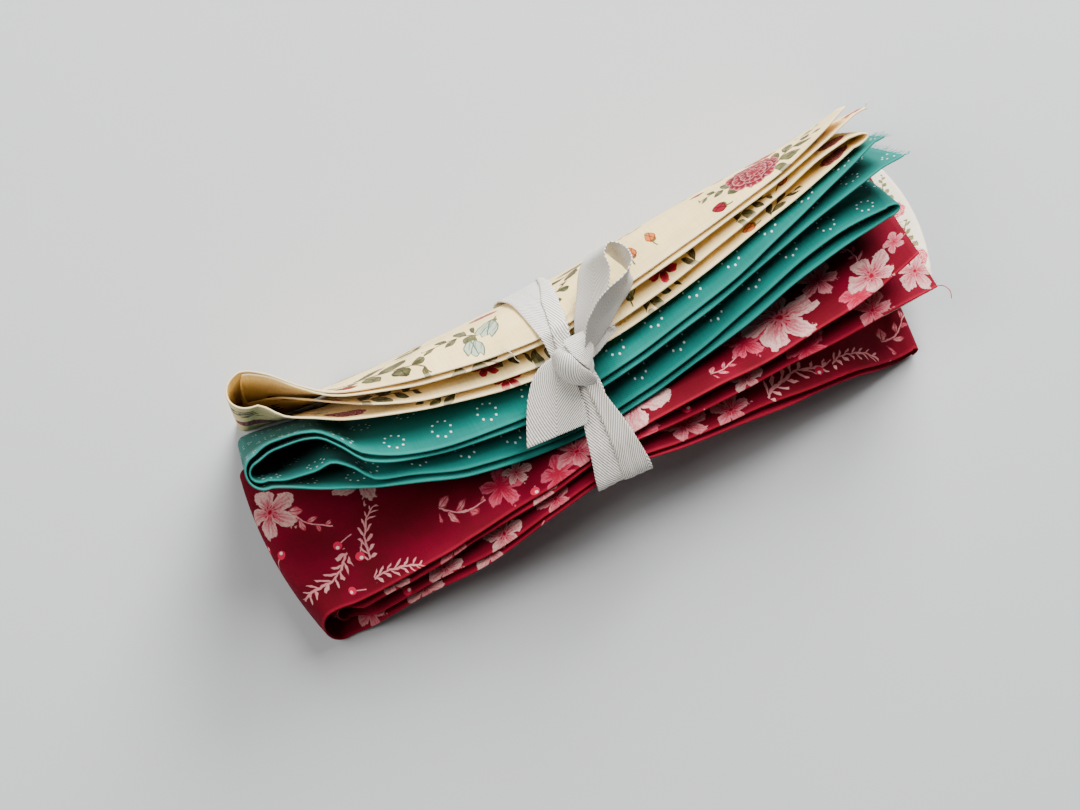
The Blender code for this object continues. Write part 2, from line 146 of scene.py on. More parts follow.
LOOP = table(
    Section, (14.1, 1.1, 60.5, 17.0, 0.1, 66.0), (15.4, 5.6, 62.8, 20.3, 3.7, 68.0),
    (17.8, 10.4, 63.6, 25.8, 7.4, 72.5), (21.6, 16.1, 63.6, 30.0, 11.4, 76.5),
    (24.8, 21.2, 63.6, 32.9, 16.0, 79.0), (28.2, 24.6, 63.6, 33.4, 20.5, 80.5),
    (32.7, 26.3, 63.6, 36.2, 22.9, 81.0), (35.6, 25.3, 63.6, 39.2, 20.7, 81.5),
    (37.8, 20.8, 63.6, 40.4, 17.2, 81.5), (39.6, 16.3, 63.6, 39.3, 13.9, 82.0),
    (40.0, 12.8, 63.6, 34.9, 11.3, 82.0), (37.2, 9.6, 63.6, 29.6, 10.1, 81.5),
    (32.4, 6.8, 63.6, 25.1, 8.5, 80.0), (28.2, 3.9, 63.6, 22.1, 6.8, 77.0),
    (24.4, 1.7, 63.2, 18.9, 4.5, 74.0), (19.7, -0.7, 61.5, 16.1, 0.1, 68.0),
    (16.0, -2.8, 60.5, 13.6, -2.9, 65.0))
STUB = table(
    Section, (14.7, 2.3, 60.8, 15.4, -4.0, 60.2), (18.5, 3.2, 61.6, 19.1, -3.2, 61.2),
    (22.0, 3.4, 62.1, 22.6, -1.7, 61.8), (25.4, 3.1, 62.4, 25.8, -0.1, 62.1))

# How hollow the free ends and the loop are at each section
LOOP_PROFILE = [0.2, 0.4, 0.5, 0.5, 0.4, 0.2, 0.0, -0.2, -0.3, 0.0, 0.3, 0.5, 0.6, 0.6, 0.5, 0.4, 0.2]
STUB_PROFILE = [0.6, 0.5, 0.4, 0.3]
TAIL_PROFILE = [0.5, 0.5, 0.35, 0.3, 0.25, 0.1]

# Sizes of what is dressed here
COTTON = 0.62
THREAD = 0.00042
TWILL = 0.45
TAPE_ROUNDING = TWILL * 0.3
ALONG_STEP = 2.0
LOOP_STEPS = 22
ROWS = 17
FOLD_ANGLES = (30, 60, 90, 120, 150)
FOOT_STEP = 45
FOOT_ANGLES = (FOOT_STEP, 2 * FOOT_STEP, 3 * FOOT_STEP)

# The tape's turns over the knot: an edge on the ridge, the outer edge, and how far the band swells.
Wound = namedtuple("Wound", "x1 y1 z1 x2 y2 z2 swell")
KNOT_OVER = table(
    Wound, (10.7, 1.5, 65.5, 8.4, 3.6, 64.0, 0.3), (10.6, 0.3, 66.5, 5.8, 2.4, 63.5, 0.9),
    (10.7, -1.5, 68.0, 4.6, -0.5, 61.5, 1.5), (11.3, -3.9, 68.7, 4.8, -3.6, 61.0, 1.8),
    (12.0, -6.1, 68.7, 6.7, -7.4, 60.5, 1.8), (13.0, -7.9, 68.2, 9.9, -9.9, 60.5, 1.5),
    (13.9, -9.3, 67.0, 13.0, -11.4, 61.0, 0.9), (14.5, -10.3, 65.0, 14.2, -11.3, 61.5, 0.3))
KNOT_FLAT = table(
    Wound, (10.4, 4.2, 66.2, 17.5, 4.5, 65.2, 0.3), (10.4, 1.8, 67.2, 18.0, 1.5, 65.5, 0.5),
    (10.8, -0.8, 67.6, 18.4, -1.3, 65.0, 0.7), (11.7, -3.6, 67.4, 17.1, -3.5, 65.0, 0.6),
    (12.9, -5.8, 66.8, 15.1, -5.8, 65.0, 0.4), (13.8, -7.1, 65.5, 14.5, -7.0, 64.5, 0.2))
KNOT_CENTRE = (10.8, -3.2, 62.2)
KNOT_RADII = (6.0, 7.0, 4.2)
KNOT_TILT = 24.0
KNOT_LENGTH = 40.0
FLOOR_SIZE = 4.0


# Shapes

def hermite(t, start, start_slope, end, end_slope):
    return (start * (2 * t ** 3 - 3 * t ** 2 + 1) + start_slope * (t ** 3 - 2 * t ** 2 + t)
            + end * (3 * t ** 2 - 2 * t ** 3) + end_slope * (t ** 3 - t ** 2))


def unit(vectors):
    return vectors / np.linalg.norm(vectors, axis=-1)[..., None]


def column(rows, name, x):
    """Value of a table's column at x, along a monotone cubic through its rows."""
    xs = [row.x for row in rows]
    ys = [getattr(row, name) for row in rows]
    if x <= xs[0]:
        return float(ys[0])
    if x >= xs[-1]:
        return float(ys[-1])
    slopes = [(y2 - y1) / (x2 - x1) for x1, x2, y1, y2 in zip(xs, xs[1:], ys, ys[1:])]
    tangents = [slopes[0]]
    for before, after in zip(slopes, slopes[1:]):
        same_way = before * after > 0
        tangents.append(2 * before * after / (before + after) if same_way else 0.0)
    tangents.append(slopes[-1])
    i = max(k for k, start in enumerate(xs[:-1]) if start <= x)
    length = xs[i + 1] - xs[i]
    t = (x - xs[i]) / length
    return hermite(t, ys[i], tangents[i] * length, ys[i + 1], tangents[i + 1] * length)


def ease(t):
    t = min(1.0, max(0.0, t))
    return t * t * (3.0 - 2.0 * t)


def tie_lift(x):
    outside = (abs(x - TIE_X) - TIE_HALF) / TIE_RAMP
    return TIE_LIFT * ease(1.0 - outside)


def slot(cloth, leaf, x):
    """A leaf's place in its stack, in pitches; the white cloth parts the red one's upper two leaves off."""
    place = 4.0 - leaf
    if cloth.name == RED.name and leaf <= 2:
        start, end = WHITE_OPENS
        place += 2.0 * min(1.0, max(0.0, (x - start) / (end - start)))
    return place


def base_point(cloth, place, lean, x):
    slope = math.radians(column(cloth.feet, "stack", x))
    pitch = column(cloth.feet, "pitch", x) / math.cos(slope - math.radians(lean))
    edge = EDGE_AT_ZERO + EDGE_SLOPE * x
    y = edge - column(cloth.feet, "foot", x) + place * pitch * math.cos(slope)
    z = place * pitch * math.sin(slope) + tie_lift(x) + SHEET / 2 * math.sin(math.radians(lean))
    return np.array([x, y, z])


def section(cloth, place, lean, x, base_x, height):
    base = base_point(cloth, place, lean, base_x)
    angle = math.radians(lean)
    rim = np.array([x, base[1] - height * math.sin(angle), base[2] + height * math.cos(angle)])
    return base, rim


def base_x_at(x, left, right):
    """Where the foot under x stands along the bundle: near a leaf's ends it runs ahead of the rim."""
    shift = 0.0
    if x < left.rim + END_RAMP:
        shift = (left.base - left.rim) * ((left.rim + END_RAMP - x) / END_RAMP) ** 2
    if x > right.rim - END_RAMP:
        shift = (right.base - right.rim) * ((x - right.rim + END_RAMP) / END_RAMP) ** 2
    return x + shift


# A place along a strip: its leaf (0 or INNER in a loop), the x of its rim, its base and rim, and its bow.
INNER = -1
Station = namedtuple("Station", "leaf x base rim bow")


def stations_between(start, end):
    count = max(2, round(abs(end - start) / ALONG_STEP))
    return [start + (end - start) * i / count for i in range(count + 1)]


# The share of its bow that a loop has at its two ends, and how far that reaches into the leaves.
END_BOW = 0.31
BOW_REACH = 5.0


def near_loop_bow(bow, distance):
    """How far a leaf bows along the bundle near the loop that it runs into."""
    return bow * END_BOW * max(0.0, 1.0 - distance / BOW_REACH) ** 2


def leaf_run(cloth, leaf, left, right, rightwards):
    run = []
    for x in stations_between(left.rim, right.rim):
        lean = column(cloth.leans, "leaf%d" % leaf, x)
        base_x = base_x_at(x, left, right)
        base, rim = section(cloth, slot(cloth, leaf, x), lean, x, base_x, cloth.height)
        run.append(Station(leaf, x, base, rim, near_loop_bow(cloth.fold_bow, x - left.rim)))
    return run if rightwards else run[::-1]


def loop(last, first, reach, side, bow, label=0):
    """Half an ellipse from the end of one leaf to the start of the next, at base and rim."""
    stations = []
    for step in range(1, LOOP_STEPS):
        share = step / LOOP_STEPS
        angle = math.pi * share
        pair = []
        for key in ("base", "rim"):
            end, start, length = getattr(last, key), getattr(first, key), getattr(reach, key)
            middle = (end + start) / 2
            nose = np.array([side * length, 0.0, 0.0])
            pair.append(middle + (end - middle) * math.cos(angle) + nose * math.sin(angle))
        fullness = END_BOW + (1.0 - END_BOW) * ease(3.5 * min(share, 1 - share))
        stations.append(Station(label, pair[1][0], pair[0], pair[1], bow * fullness))
    return stations


def folded_strip(cloth):
    """Leaf 1 from its raw end, the outer loop, leaf 4, the right fold, leaf 3, the inner loop, leaf 2."""
    left, inside, right = cloth.left_root, cloth.inner_root, cloth.right_root
    leaf1 = leaf_run(cloth, 1, left, cloth.tip1, False)
    leaf4 = leaf_run(cloth, 4, left, right, True)
    leaf3 = leaf_run(cloth, 3, inside, right, False)
    leaf2 = leaf_run(cloth, 2, inside, cloth.tip2, True)
    outer = loop(leaf1[-1], leaf4[0], cloth.left_outer, -1, cloth.fold_bow)
    fold = loop(leaf4[-1], leaf3[0], cloth.right_loop, 1, 0.0)
    inner = loop(leaf3[-1], leaf2[0], cloth.left_inner, -1, cloth.fold_bow, INNER)
    return leaf1 + outer + leaf4 + fold + leaf3 + inner + leaf2


def white_strip():
    runs = []
    for number, leaf in enumerate(WHITE_LEAVES, 1):
        run = []
        for x in stations_between(WHITE_TAIL.rim, WHITE_ROOT.rim):
            above = column(RED.leans, "leaf2", x)
            below = column(RED.leans, "leaf3", x)
            lean = above + (below - above) * leaf.share
            base_x = base_x_at(x, WHITE_TAIL, WHITE_ROOT)
            base, rim = section(RED, leaf.place, lean, x, base_x, WHITE_HEIGHT)
            run.append(Station(number, x, base, rim, near_loop_bow(WHITE_BOW, WHITE_ROOT.rim - x)))
        runs.append(run)
    upper, lower = runs
    return upper + loop(upper[-1], lower[-1], WHITE_LOOP, 1, WHITE_BOW) + lower[::-1]


# The tie holds the leaves still, and they hang loose within this length from it.
LOOSENING = 25.0
HELD = 0.15
# How a cloth has settled: waves of its leaves, in step through the cloth so that they stay apart.
Settle = namedtuple("Settle", "sway wave ripple rise phase")
SETTLES = {
    "cloth_cream": Settle(sway=0.16, wave=23.0, ripple=0.05, rise=0.30, phase=0.4),
    "cloth_teal": Settle(sway=0.18, wave=19.0, ripple=0.06, rise=0.35, phase=1.9),
    "cloth_red": Settle(sway=0.18, wave=26.0, ripple=0.06, rise=0.35, phase=3.3),
    "cloth_white": Settle(sway=0.05, wave=21.0, ripple=0.02, rise=0.15, phase=5.0),
}
# Soft troughs (negative) and ridges, each along a line on one leaf, from (x1, v1) to (x2, v2).
Crease = namedtuple("Crease", "leaf x1 v1 x2 v2 width depth")
CREASES = {
    "cloth_cream": table(
        Crease, (1, -70, 0.30, -20, 0.62, 4.0, -0.30), (1, -45, 0.15, 5, 0.35, 5.0, 0.25),
        (1, 20, 0.80, 62, 0.45, 3.5, -0.25), (1, 40, 0.25, 95, 0.40, 4.5, 0.30),
        (1, 70, 0.75, 118, 0.62, 3.0, -0.20)),
    "cloth_teal": table(
        Crease, (1, -88, 0.70, -60, 0.88, 3.0, -0.28), (1, 25, 0.72, 75, 0.86, 3.0, -0.25),
        (3, 60, 0.78, 112, 0.86, 3.0, 0.22)),
    "cloth_red": table(
        Crease, (1, -88, 0.25, -40, 0.70, 5.0, -0.32), (1, -60, 0.30, -8, 0.80, 4.0, 0.30),
        (1, -30, 0.55, 4, 0.93, 2.5, -0.30), (1, 18, 0.92, 60, 0.74, 2.6, 0.28),
        (1, 70, 0.60, 118, 0.80, 4.0, -0.30), (3, 70, 0.92, 112, 0.84, 3.0, 0.22)),
    "cloth_white": [],
}


# How full the leaves hang towards the cream side: most a little below the rim, and drawn in at the foot.
Full = namedtuple("Full", "x share")
FULL_ALONG = {
    "cloth_cream": table(
        Full, (-86, 0.0), (-60, 0.08), (-45, 0.35), (-28, 0.70), (-8, 0.92), (10, 0.92), (30, 1.0),
        (56, 1.05), (84, 0.80), (104, 0.45), (118, 0.15), (132, 0.05)),
    "cloth_teal": table(
        Full, (-84, 0.0), (-70, 0.10), (-60, 0.38), (-45, 0.62), (-28, 0.80), (10, 0.80), (56, 0.95),
        (90, 0.75), (112, 0.40), (124, 0.15), (134, 0.0)),
}
FULL_UP = table(
    Full, (0.0, -0.55), (0.14, -0.10), (0.33, 0.38), (0.5, 0.70), (0.66, 0.95), (0.75, 1.0), (0.83, 0.86),
    (0.92, 0.50), (1.0, 0.0))
FULLNESS = {"cloth_cream": (7.6, 7.3, 6.5, 6.0), "cloth_teal": (7.6, 7.2, 7.4, 6.6)}
# The rim of each inner fold lies lower than the others, from its end to where the leaves part.
Sunk = namedtuple("Sunk", "depth2 end2 depth3 end3")
SUNK = {
    "cloth_cream": Sunk(0.3, -78.0, 34.0, -50.0),
    "cloth_teal": Sunk(0.4, -80.0, 1.2, -64.0),
    "cloth_red": Sunk(3.5, -84.0, 3.5, -80.0),
}


def fullness(name, stations, shares):
    """How far each point of a cloth stands outwards, one row of shares of the height at each station."""
    if name not in FULLNESS:
        return np.zeros((len(stations), len(shares)))
    known = [i for i, s in enumerate(stations) if s.leaf > 0]
    amounts = [FULLNESS[name][stations[i].leaf - 1] for i in known]
    along = np.interp(range(len(stations)), known, amounts)
    along = along * np.array([column(FULL_ALONG[name], "share", s.x) for s in stations])
    up = np.array([column(FULL_UP, "share", v) for v in shares])
    return along[:, None] * up[None, :]


def sinking(name, stations):
    """How far the rim of the inner fold and the leaves beside it lies below the full height."""
    depths = np.zeros(len(stations))
    if name in SUNK:
        sunk = SUNK[name]
        for i, s in enumerate(stations):
            if s.leaf in (2, 3) and s.x < 0:
                depth, end = (sunk.depth2, sunk.end2) if s.leaf == 2 else (sunk.depth3, sunk.end3)
                start = min(t.x for t in stations if t.leaf == s.leaf)
                depths[i] = depth * ease((end - s.x) / (end - start))
        turn = [i for i, s in enumerate(stations) if s.leaf == INNER]
        ends = [turn[0] - 1, turn[-1] + 1]
        depths[turn] = np.interp(turn, ends, depths[ends])
    return depths


def crease_depth(crease, x, v, height):
    """Depth of one crease at points of its leaf, fading out over its ends."""
    start = np.array([crease.x1, crease.v1 * height])
    along = np.array([crease.x2, crease.v2 * height]) - start
    length = np.hypot(*along)
    along = along / length
    dx, dy = x - start[0], v * height - start[1]
    reach = (dx * along[0] + dy * along[1]) / length
    off = -dx * along[1] + dy * along[0] + 0.8 * np.sin(reach * 7.0)
    fade = np.clip(np.minimum(reach, 1 - reach) * 4.0, 0.0, 1.0)
    return crease.depth * np.exp(-(off / crease.width) ** 2) * fade * fade * (3 - 2 * fade)


def middle_points(name, stations, height, shares):
    """Points of the strip's middle surface, one row of shares of its height at each station."""
    leaf, x, base, rim, bow = (np.array(values)[:, None] for values in zip(*stations))
    v = np.array(shares)[None, :]
    settle = SETTLES[name]
    loose = np.clip((np.abs(x - TIE_X) - TIE_HALF) / LOOSENING, HELD, 1.0)
    waves = np.sin(x / 17.0 + 1.7 * leaf + settle.phase) + 0.6 * np.sin(x / 6.1 + 2.3 * leaf)
    rise = settle.rise * loose * waves - sinking(name, stations)[:, None]
    points = base + (rim - base) * (v * (1.0 + rise / height))[..., None]
    points[..., 0] += bow * 4 * v * (1 - v)
    points[..., 1] += fullness(name, stations, shares)
    normal = unit(np.cross(np.gradient(points, axis=0), np.gradient(points, axis=1)))
    sway = settle.sway * loose * v ** 1.5 * np.sin(2 * math.pi * x / settle.wave / 2.7 + settle.phase)
    ripple = settle.ripple * loose * v * np.sin(x / 3.9 + 2.1 * leaf + 3.0 * v)
    # The leaves' normals turn over from one to the next, so the sway is taken the same way for all.
    facing = np.sign(normal[..., 1:2])[..., 0]
    facing[leaf[:, 0] <= 0] = 0.0
    shift = (sway + ripple) * facing
    for crease in CREASES[name]:
        on_leaf = (leaf == crease.leaf) * facing
        shift = shift + on_leaf * crease_depth(crease, x, v, height)
    return points + normal * shift[..., None]


def lengths_along(line):
    """How far along a line each of its points lies."""
    return np.concatenate(([0.0], np.cumsum(np.linalg.norm(np.diff(line, axis=0), axis=1))))


def sheet_rings(name, stations, height):
    """Closed rings of points round the strip's thickness, with their places along and round the strip."""
    half = COTTON / 2
    shares = [(half + (height - COTTON) * j / (ROWS - 1)) / height for j in range(ROWS)]
    middle = middle_points(name, stations, height, shares)
    across = unit(np.gradient(middle, axis=1))
    normal = unit(np.cross(np.gradient(middle, axis=0), across))

    def round_edge(row, side, angle):
        return middle[:, row] + side * (normal[:, row] * math.cos(angle) + across[:, row] * math.sin(angle))

    columns = [middle[:, j] + normal[:, j] * half for j in range(ROWS)]
    places = [share * height for share in shares]
    for angle in map(math.radians, FOLD_ANGLES):
        columns.append(round_edge(-1, half, angle))
        places.append(height - half + half * angle)
    turned = height - half + half * math.pi
    for j in reversed(range(ROWS)):
        columns.append(middle[:, j] - normal[:, j] * half)
        places.append(turned + (1 - shares[j]) * height - half)
    for angle in map(math.radians, FOOT_ANGLES):
        columns.append(round_edge(0, -half, angle))
        places.append(places[2 * ROWS + len(FOLD_ANGLES) - 1] + half * angle)
    points = np.stack(columns, axis=1)
    points[..., 2] = np.maximum(points[..., 2], 0.0)
    places.append(places[-1] + half * math.radians(FOOT_STEP))
    return points, lengths_along(middle[:, ROWS // 2]), np.array(places)


def ring_faces(count, ring):
    """Corner numbers of the quads between rings."""
    i = np.arange(count - 1)[:, None] * ring
    k = np.arange(ring)[None, :]
    following = (k + 1) % ring
    return np.stack([i + k, i + ring + k, i + ring + following, i + following], axis=-1).reshape(-1, 4)


def raw_end_faces(first, ring, flip):
    """Corner numbers of the faces that close a raw end, from the first corner of its ring."""
    faces = []
    inner = ROWS + len(FOLD_ANGLES)
    for j in range(ROWS - 1):
        far = inner + ROWS - 1 - j
        faces.append([first + j, first + j + 1, first + far - 1, first + far])
    faces.append([first + k for k in range(ROWS - 1, inner + 1)])
    faces.append([first + (k % ring) for k in range(inner + ROWS - 1, ring + 1)])
    return [face[::-1] for face in faces] if flip else faces


def linked(name, data):
    item = bpy.data.objects.new(name, data)
    bpy.context.scene.collection.objects.link(item)
    return item


def plain_object(name, points, faces):
    mesh = bpy.data.meshes.new(name)
    places = [tuple(p) for p in (np.asarray(points) + TO_FRAME) * MM]
    mesh.from_pydata(places, [], [list(map(int, face)) for face in faces])
    mesh.polygons.foreach_set("use_smooth", [True] * len(mesh.polygons))
    return linked(name, mesh)


def write_uv(mesh, name, values):
    layer = mesh.uv_layers.new(name=name)
    layer.uv.foreach_set("vector", np.asarray(values, dtype=np.float32).reshape(-1))


# Prints

# Each motif is drawn in a cell of its own kind, and every quad of the cloth lies in one cell or none.
CELL = 4.0
CELL_EDGE = 1.9
# A quad belongs to a motif within this share of its size and this margin.
MOTIF_REACH = 1.05
MOTIF_MARGIN = 2.4
# How far apart the repeat's motifs stay from those that show, and how each repeat is turned.
CLEARANCE = 0.8
REPEAT_TURN = 70
OVER_EDGE = 3.0
LEAF_KINDS = {"spray": 0, "vine": 1, "sprig": 2, "blades": 3, "dusky": 4}
FLOWER_KINDS = {"bloom": 0, "rose": 1, "bud": 2, "warm_bud": 3, "berry": 4, "tulip": 5, "pink": 6}

Motif = namedtuple("Motif", "kind leaf face x v size turn")


def motifs(*groups):
    """The motifs of a print, by the leaf and the face that they are seen on."""
    return [Motif(kind, leaf, face, *place) for leaf, face, *rows in groups for kind, *place in rows]


CREAM_PRINT = motifs(
    (1, "under", ("bare", -76, 0.72, 15.0, 0)),
    (2, "under", ("bare", -74, 0.72, 17.0, 0)),
    (3, "upper", ("bare", -72, 0.60, 13.0, 0)),
    (4, "under", ("rose", -83, 0.34, 9.0, 10), ("vine", -88, 0.72, 9.0, 60), ("bud", -72, 0.40, 5.0, 150),
    ("vine", -60, 0.66, 10.0, 200), ("sprig", -71, 0.86, 6.0, 20)),
    (1, "upper", ("bud", -53, 0.93, 6.5, 20), ("sprig", -58, 0.86, 8.0, 200),
    ("vine", -37, 0.82, 16.0, 335), ("tulip", -30, 0.62, 6.0, 200), ("sprig", -17, 0.76, 11.0, 170),
    ("tulip", -4, 0.80, 8.5, 235), ("tulip", -11, 0.91, 7.0, 255), ("rose", -3, 0.50, 6.0, 0),
    ("blades", 27, 0.64, 18.0, 205), ("sprig", 20, 0.80, 9.0, 20), ("warm_bud", 46, 0.88, 4.2, 80),
    ("warm_bud", 54, 0.86, 4.2, 95), ("sprig", 56, 0.50, 9.0, 350), ("bud", 75, 0.72, 4.2, 190),
    ("bud", 84, 0.62, 4.6, 180), ("rose", 92, 0.84, 10.5, 0), ("bud", 77, 0.95, 4.0, 170),
    ("vine", 107, 0.86, 11.5, 10), ("sprig", 79, 0.83, 7.0, 160), ("sprig", 117, 0.72, 8.0, 20)),
    (3, "upper", ("vine", -38, 0.88, 11.0, 10), ("rose", -58, 0.90, 7.0, 0), ("bloom", -8, 0.89, 5.5, 0),
    ("bud", -17, 0.86, 4.0, 10), ("vine", -1, 0.86, 9.0, 340), ("bloom", 53, 0.90, 6.0, 20),
    ("tulip", 41, 0.90, 6.0, 70), ("vine", 36, 0.86, 7.0, 190), ("blades", 62, 0.90, 7.0, 80),
    ("warm_bud", 98, 0.93, 4.4, 30), ("vine", 86, 0.92, 8.0, 5), ("rose", 119, 0.86, 7.0, 60)),
    (4, "upper", ("rose", -57, 0.84, 8.0, 0), ("vine", -30, 0.94, 8.0, 170), ("bloom", -7, 0.94, 5.5, 60),
    ("vine", 47, 0.93, 8.0, 10), ("bud", 27, 0.95, 4.0, 20), ("blades", 95, 0.93, 8.0, 10),
    ("warm_bud", 82, 0.96, 4.0, 180), ("rose", 118, 0.88, 7.0, 20)))
RED_PRINT = motifs(
    (1, "upper", ("bloom", -95, 0.32, 10.5, 20), ("sprig", -85, 0.48, 9.0, 320),
    ("berry", -81, 0.66, 2.6, 200), ("berry", -76, 0.77, 2.6, 240), ("berry", -84, 0.93, 2.4, 160),
    ("spray", -88, 0.83, 14.0, 200), ("spray", -71, 0.66, 12.0, 60), ("spray", -66, 0.92, 11.0, 350),
    ("sprig", -39, 0.82, 11.0, 340), ("dusky", -26, 0.83, 9.5, 0), ("bloom", -19, 0.80, 5.5, 0),
    ("pink", 0, 0.90, 8.5, 40), ("dusky", -8, 0.95, 8.0, 80), ("sprig", 55, 0.90, 6.5, 15),
    ("bloom", 78, 0.80, 16.0, 10), ("dusky", 64, 0.80, 9.0, 0), ("pink", 95, 0.70, 9.0, 50),
    ("bloom", 111, 0.88, 10.5, 30), ("dusky", 103, 0.95, 8.0, 0), ("pink", 124, 0.80, 5.5, 80),
    ("sprig", 110, 0.66, 8.0, 100)),
    (2, "upper", ("bloom", 128, 0.86, 9.5, 60), ("pink", 108, 0.94, 8.0, 60), ("bloom", 60, 0.94, 7.0, 0),
    ("dusky", 82, 0.95, 8.0, 30), ("bloom", -70, 0.93, 8.0, 30), ("pink", -47, 0.94, 8.0, 0),
    ("sprig", -30, 0.93, 7.0, 0), ("bloom", -14, 0.95, 7.0, 0)),
    (3, "upper", ("pink", 36, 0.90, 9.0, 20), ("pink", 51, 0.93, 7.5, 70), ("spray", 75, 0.88, 14.0, 5),
    ("spray", 98, 0.90, 11.0, 350), ("berry", 84, 0.92, 2.6, 200), ("sprig", 120, 0.85, 10.0, 30),
    ("bloom", -31, 0.94, 8.0, 0), ("bloom", -52, 0.95, 7.0, 50), ("pink", -12, 0.94, 7.0, 20)),
    (4, "upper", ("bloom", -38, 0.93, 8.0, 0), ("bloom", -62, 0.95, 8.0, 50), ("pink", -82, 0.93, 7.0, 50)),
    (4, "under", ("bloom", -70, 0.70, 13.0, 0), ("spray", -92, 0.60, 13.0, 100),
    ("bloom", 40, 0.70, 14.0, 0), ("spray", 66, 0.76, 13.0, 20), ("pink", 92, 0.70, 10.0, 20)))
WHITE_PRINT = motifs(
    (1, "upper", ("rose", 131, 0.42, 4.4, 0), ("vine", 131, 0.62, 6.5, 80), ("rose", 133, 0.82, 4.0, 60),
    ("vine", 131, 0.22, 6.5, 70)))
# The rest of each print repeats: places along and across the strip, in one repeat.
Repeat = namedtuple("Repeat", "kind u v size turn")
CREAM_REPEAT = table(
    Repeat, ("rose", 16, 16, 9.0, 20), ("vine", 38, 14, 12.0, 30), ("tulip", 58, 24, 6.5, 300),
    ("bud", 74, 8, 5.0, 140), ("vine", 84, 34, 12.0, 200), ("bloom", 30, 42, 6.5, 0),
    ("warm_bud", 48, 44, 4.4, 60), ("sprig", 6, 44, 9.0, 100), ("blades", 64, 56, 13.0, 190),
    ("bud", 16, 60, 5.0, 20), ("tulip", 92, 56, 6.0, 90))
RED_REPEAT = table(
    Repeat, ("bloom", 20, 20, 14.0, 10), ("dusky", 36, 32, 11.0, 40), ("spray", 54, 14, 13.0, 40),
    ("berry", 62, 30, 2.6, 0), ("berry", 57, 36, 2.6, 60), ("pink", 74, 50, 11.0, 30),
    ("spray", 36, 54, 13.0, 170), ("sprig", 82, 16, 10.0, 300), ("sprig", 8, 50, 9.0, 80))
WHITE_REPEAT = table(
    Repeat, ("rose", 8, 8, 4.4, 0), ("vine", 18, 12, 6.5, 30), ("bud", 30, 22, 3.4, 100),
    ("vine", 14, 26, 6.5, 200), ("sprig", 34, 8, 5.0, 300))
# A print's own motifs, its repeat, and the repeat's length along and width across the strip.
Print = namedtuple("Print", "motifs repeat length width")
PRINTS = {
    "cloth_cream": Print(CREAM_PRINT, CREAM_REPEAT, 100.0, 64.0),
    "cloth_red": Print(RED_PRINT, RED_REPEAT, 90.0, 64.0),
    "cloth_white": Print(WHITE_PRINT, WHITE_REPEAT, 40.0, 34.0),
}
# A motif's kind, its middle along and round the strip, its size, and its own two axes there.
Placed = namedtuple("Placed", "kind u v size turn mirror")


def place_on_strip(motif, stations, u, height):
    """Where a motif seen on a leaf lies along and round the strip, and which way up it is there."""
    on_leaf = [i for i, s in enumerate(stations) if s.leaf == motif.leaf]
    first, last = on_leaf[0], on_leaf[-1]
    leftwards = stations[last].x < stations[first].x
    speed = (u[last] - u[first]) / (stations[last].x - stations[first].x)
    place = u[first] + (motif.x - stations[first].x) * speed
    outside = leftwards == (motif.face == "upper")
    turned = 2 * height - COTTON + math.pi * COTTON / 2
    v = motif.v * height if outside else turned - motif.v * height
    mirror = (-1 if leftwards else 1, -1 if outside else 1)
    return Placed(motif.kind, place, v, motif.size, motif.turn, mirror)


def print_layout(cloth_name, stations, u, height):
    """The motifs that the photograph shows, its bare places, and the repeat wherever they leave room."""
    design = PRINTS[cloth_name]
    placed = [place_on_strip(motif, stations, u, height) for motif in design.motifs]
    seen = list(placed)
    for along in range(int(u[-1] / design.length) + 1):
        for across in range(3):
            for row in design.repeat:
                shift = design.width * 0.5 * (along % 2)
                there = row.u + along * design.length
                up = (row.v + shift) % design.width + across * design.width
                clear = all(math.hypot(there - m.u, up - m.v) > CLEARANCE * (row.size + m.size) for m in seen)
                if clear and up < 2 * height + OVER_EDGE:
                    turn = row.turn + REPEAT_TURN * along
                    placed.append(Placed(row.kind, there, up, row.size, turn, (1, 1)))
    return placed


def motif_uv(corner_u, corner_v, placed, kinds):
    """For each corner of each quad, its place in the cell of the motif that it lies in."""
    middle_u, middle_v = corner_u.mean(axis=1), corner_v.mean(axis=1)
    values = np.zeros(corner_u.shape + (2,))
    values[..., 0] = -2 * CELL
    nearest = np.ones(len(middle_u))
    for motif in placed:
        if motif.kind not in kinds:
            continue
        reach = motif.size * MOTIF_REACH + MOTIF_MARGIN
        share = np.maximum(np.abs(middle_u - motif.u), np.abs(middle_v - motif.v)) / reach
        inside = share < nearest
        nearest[inside] = share[inside]
        x = (corner_u[inside] - motif.u) * motif.mirror[0] / motif.size
        y = (corner_v[inside] - motif.v) * motif.mirror[1] / motif.size
        c, s = math.cos(math.radians(motif.turn)), math.sin(math.radians(motif.turn))
        values[inside, :, 0] = np.clip(x * c + y * s, -CELL_EDGE, CELL_EDGE) + CELL * kinds[motif.kind]
        values[inside, :, 1] = -x * s + y * c
    return values


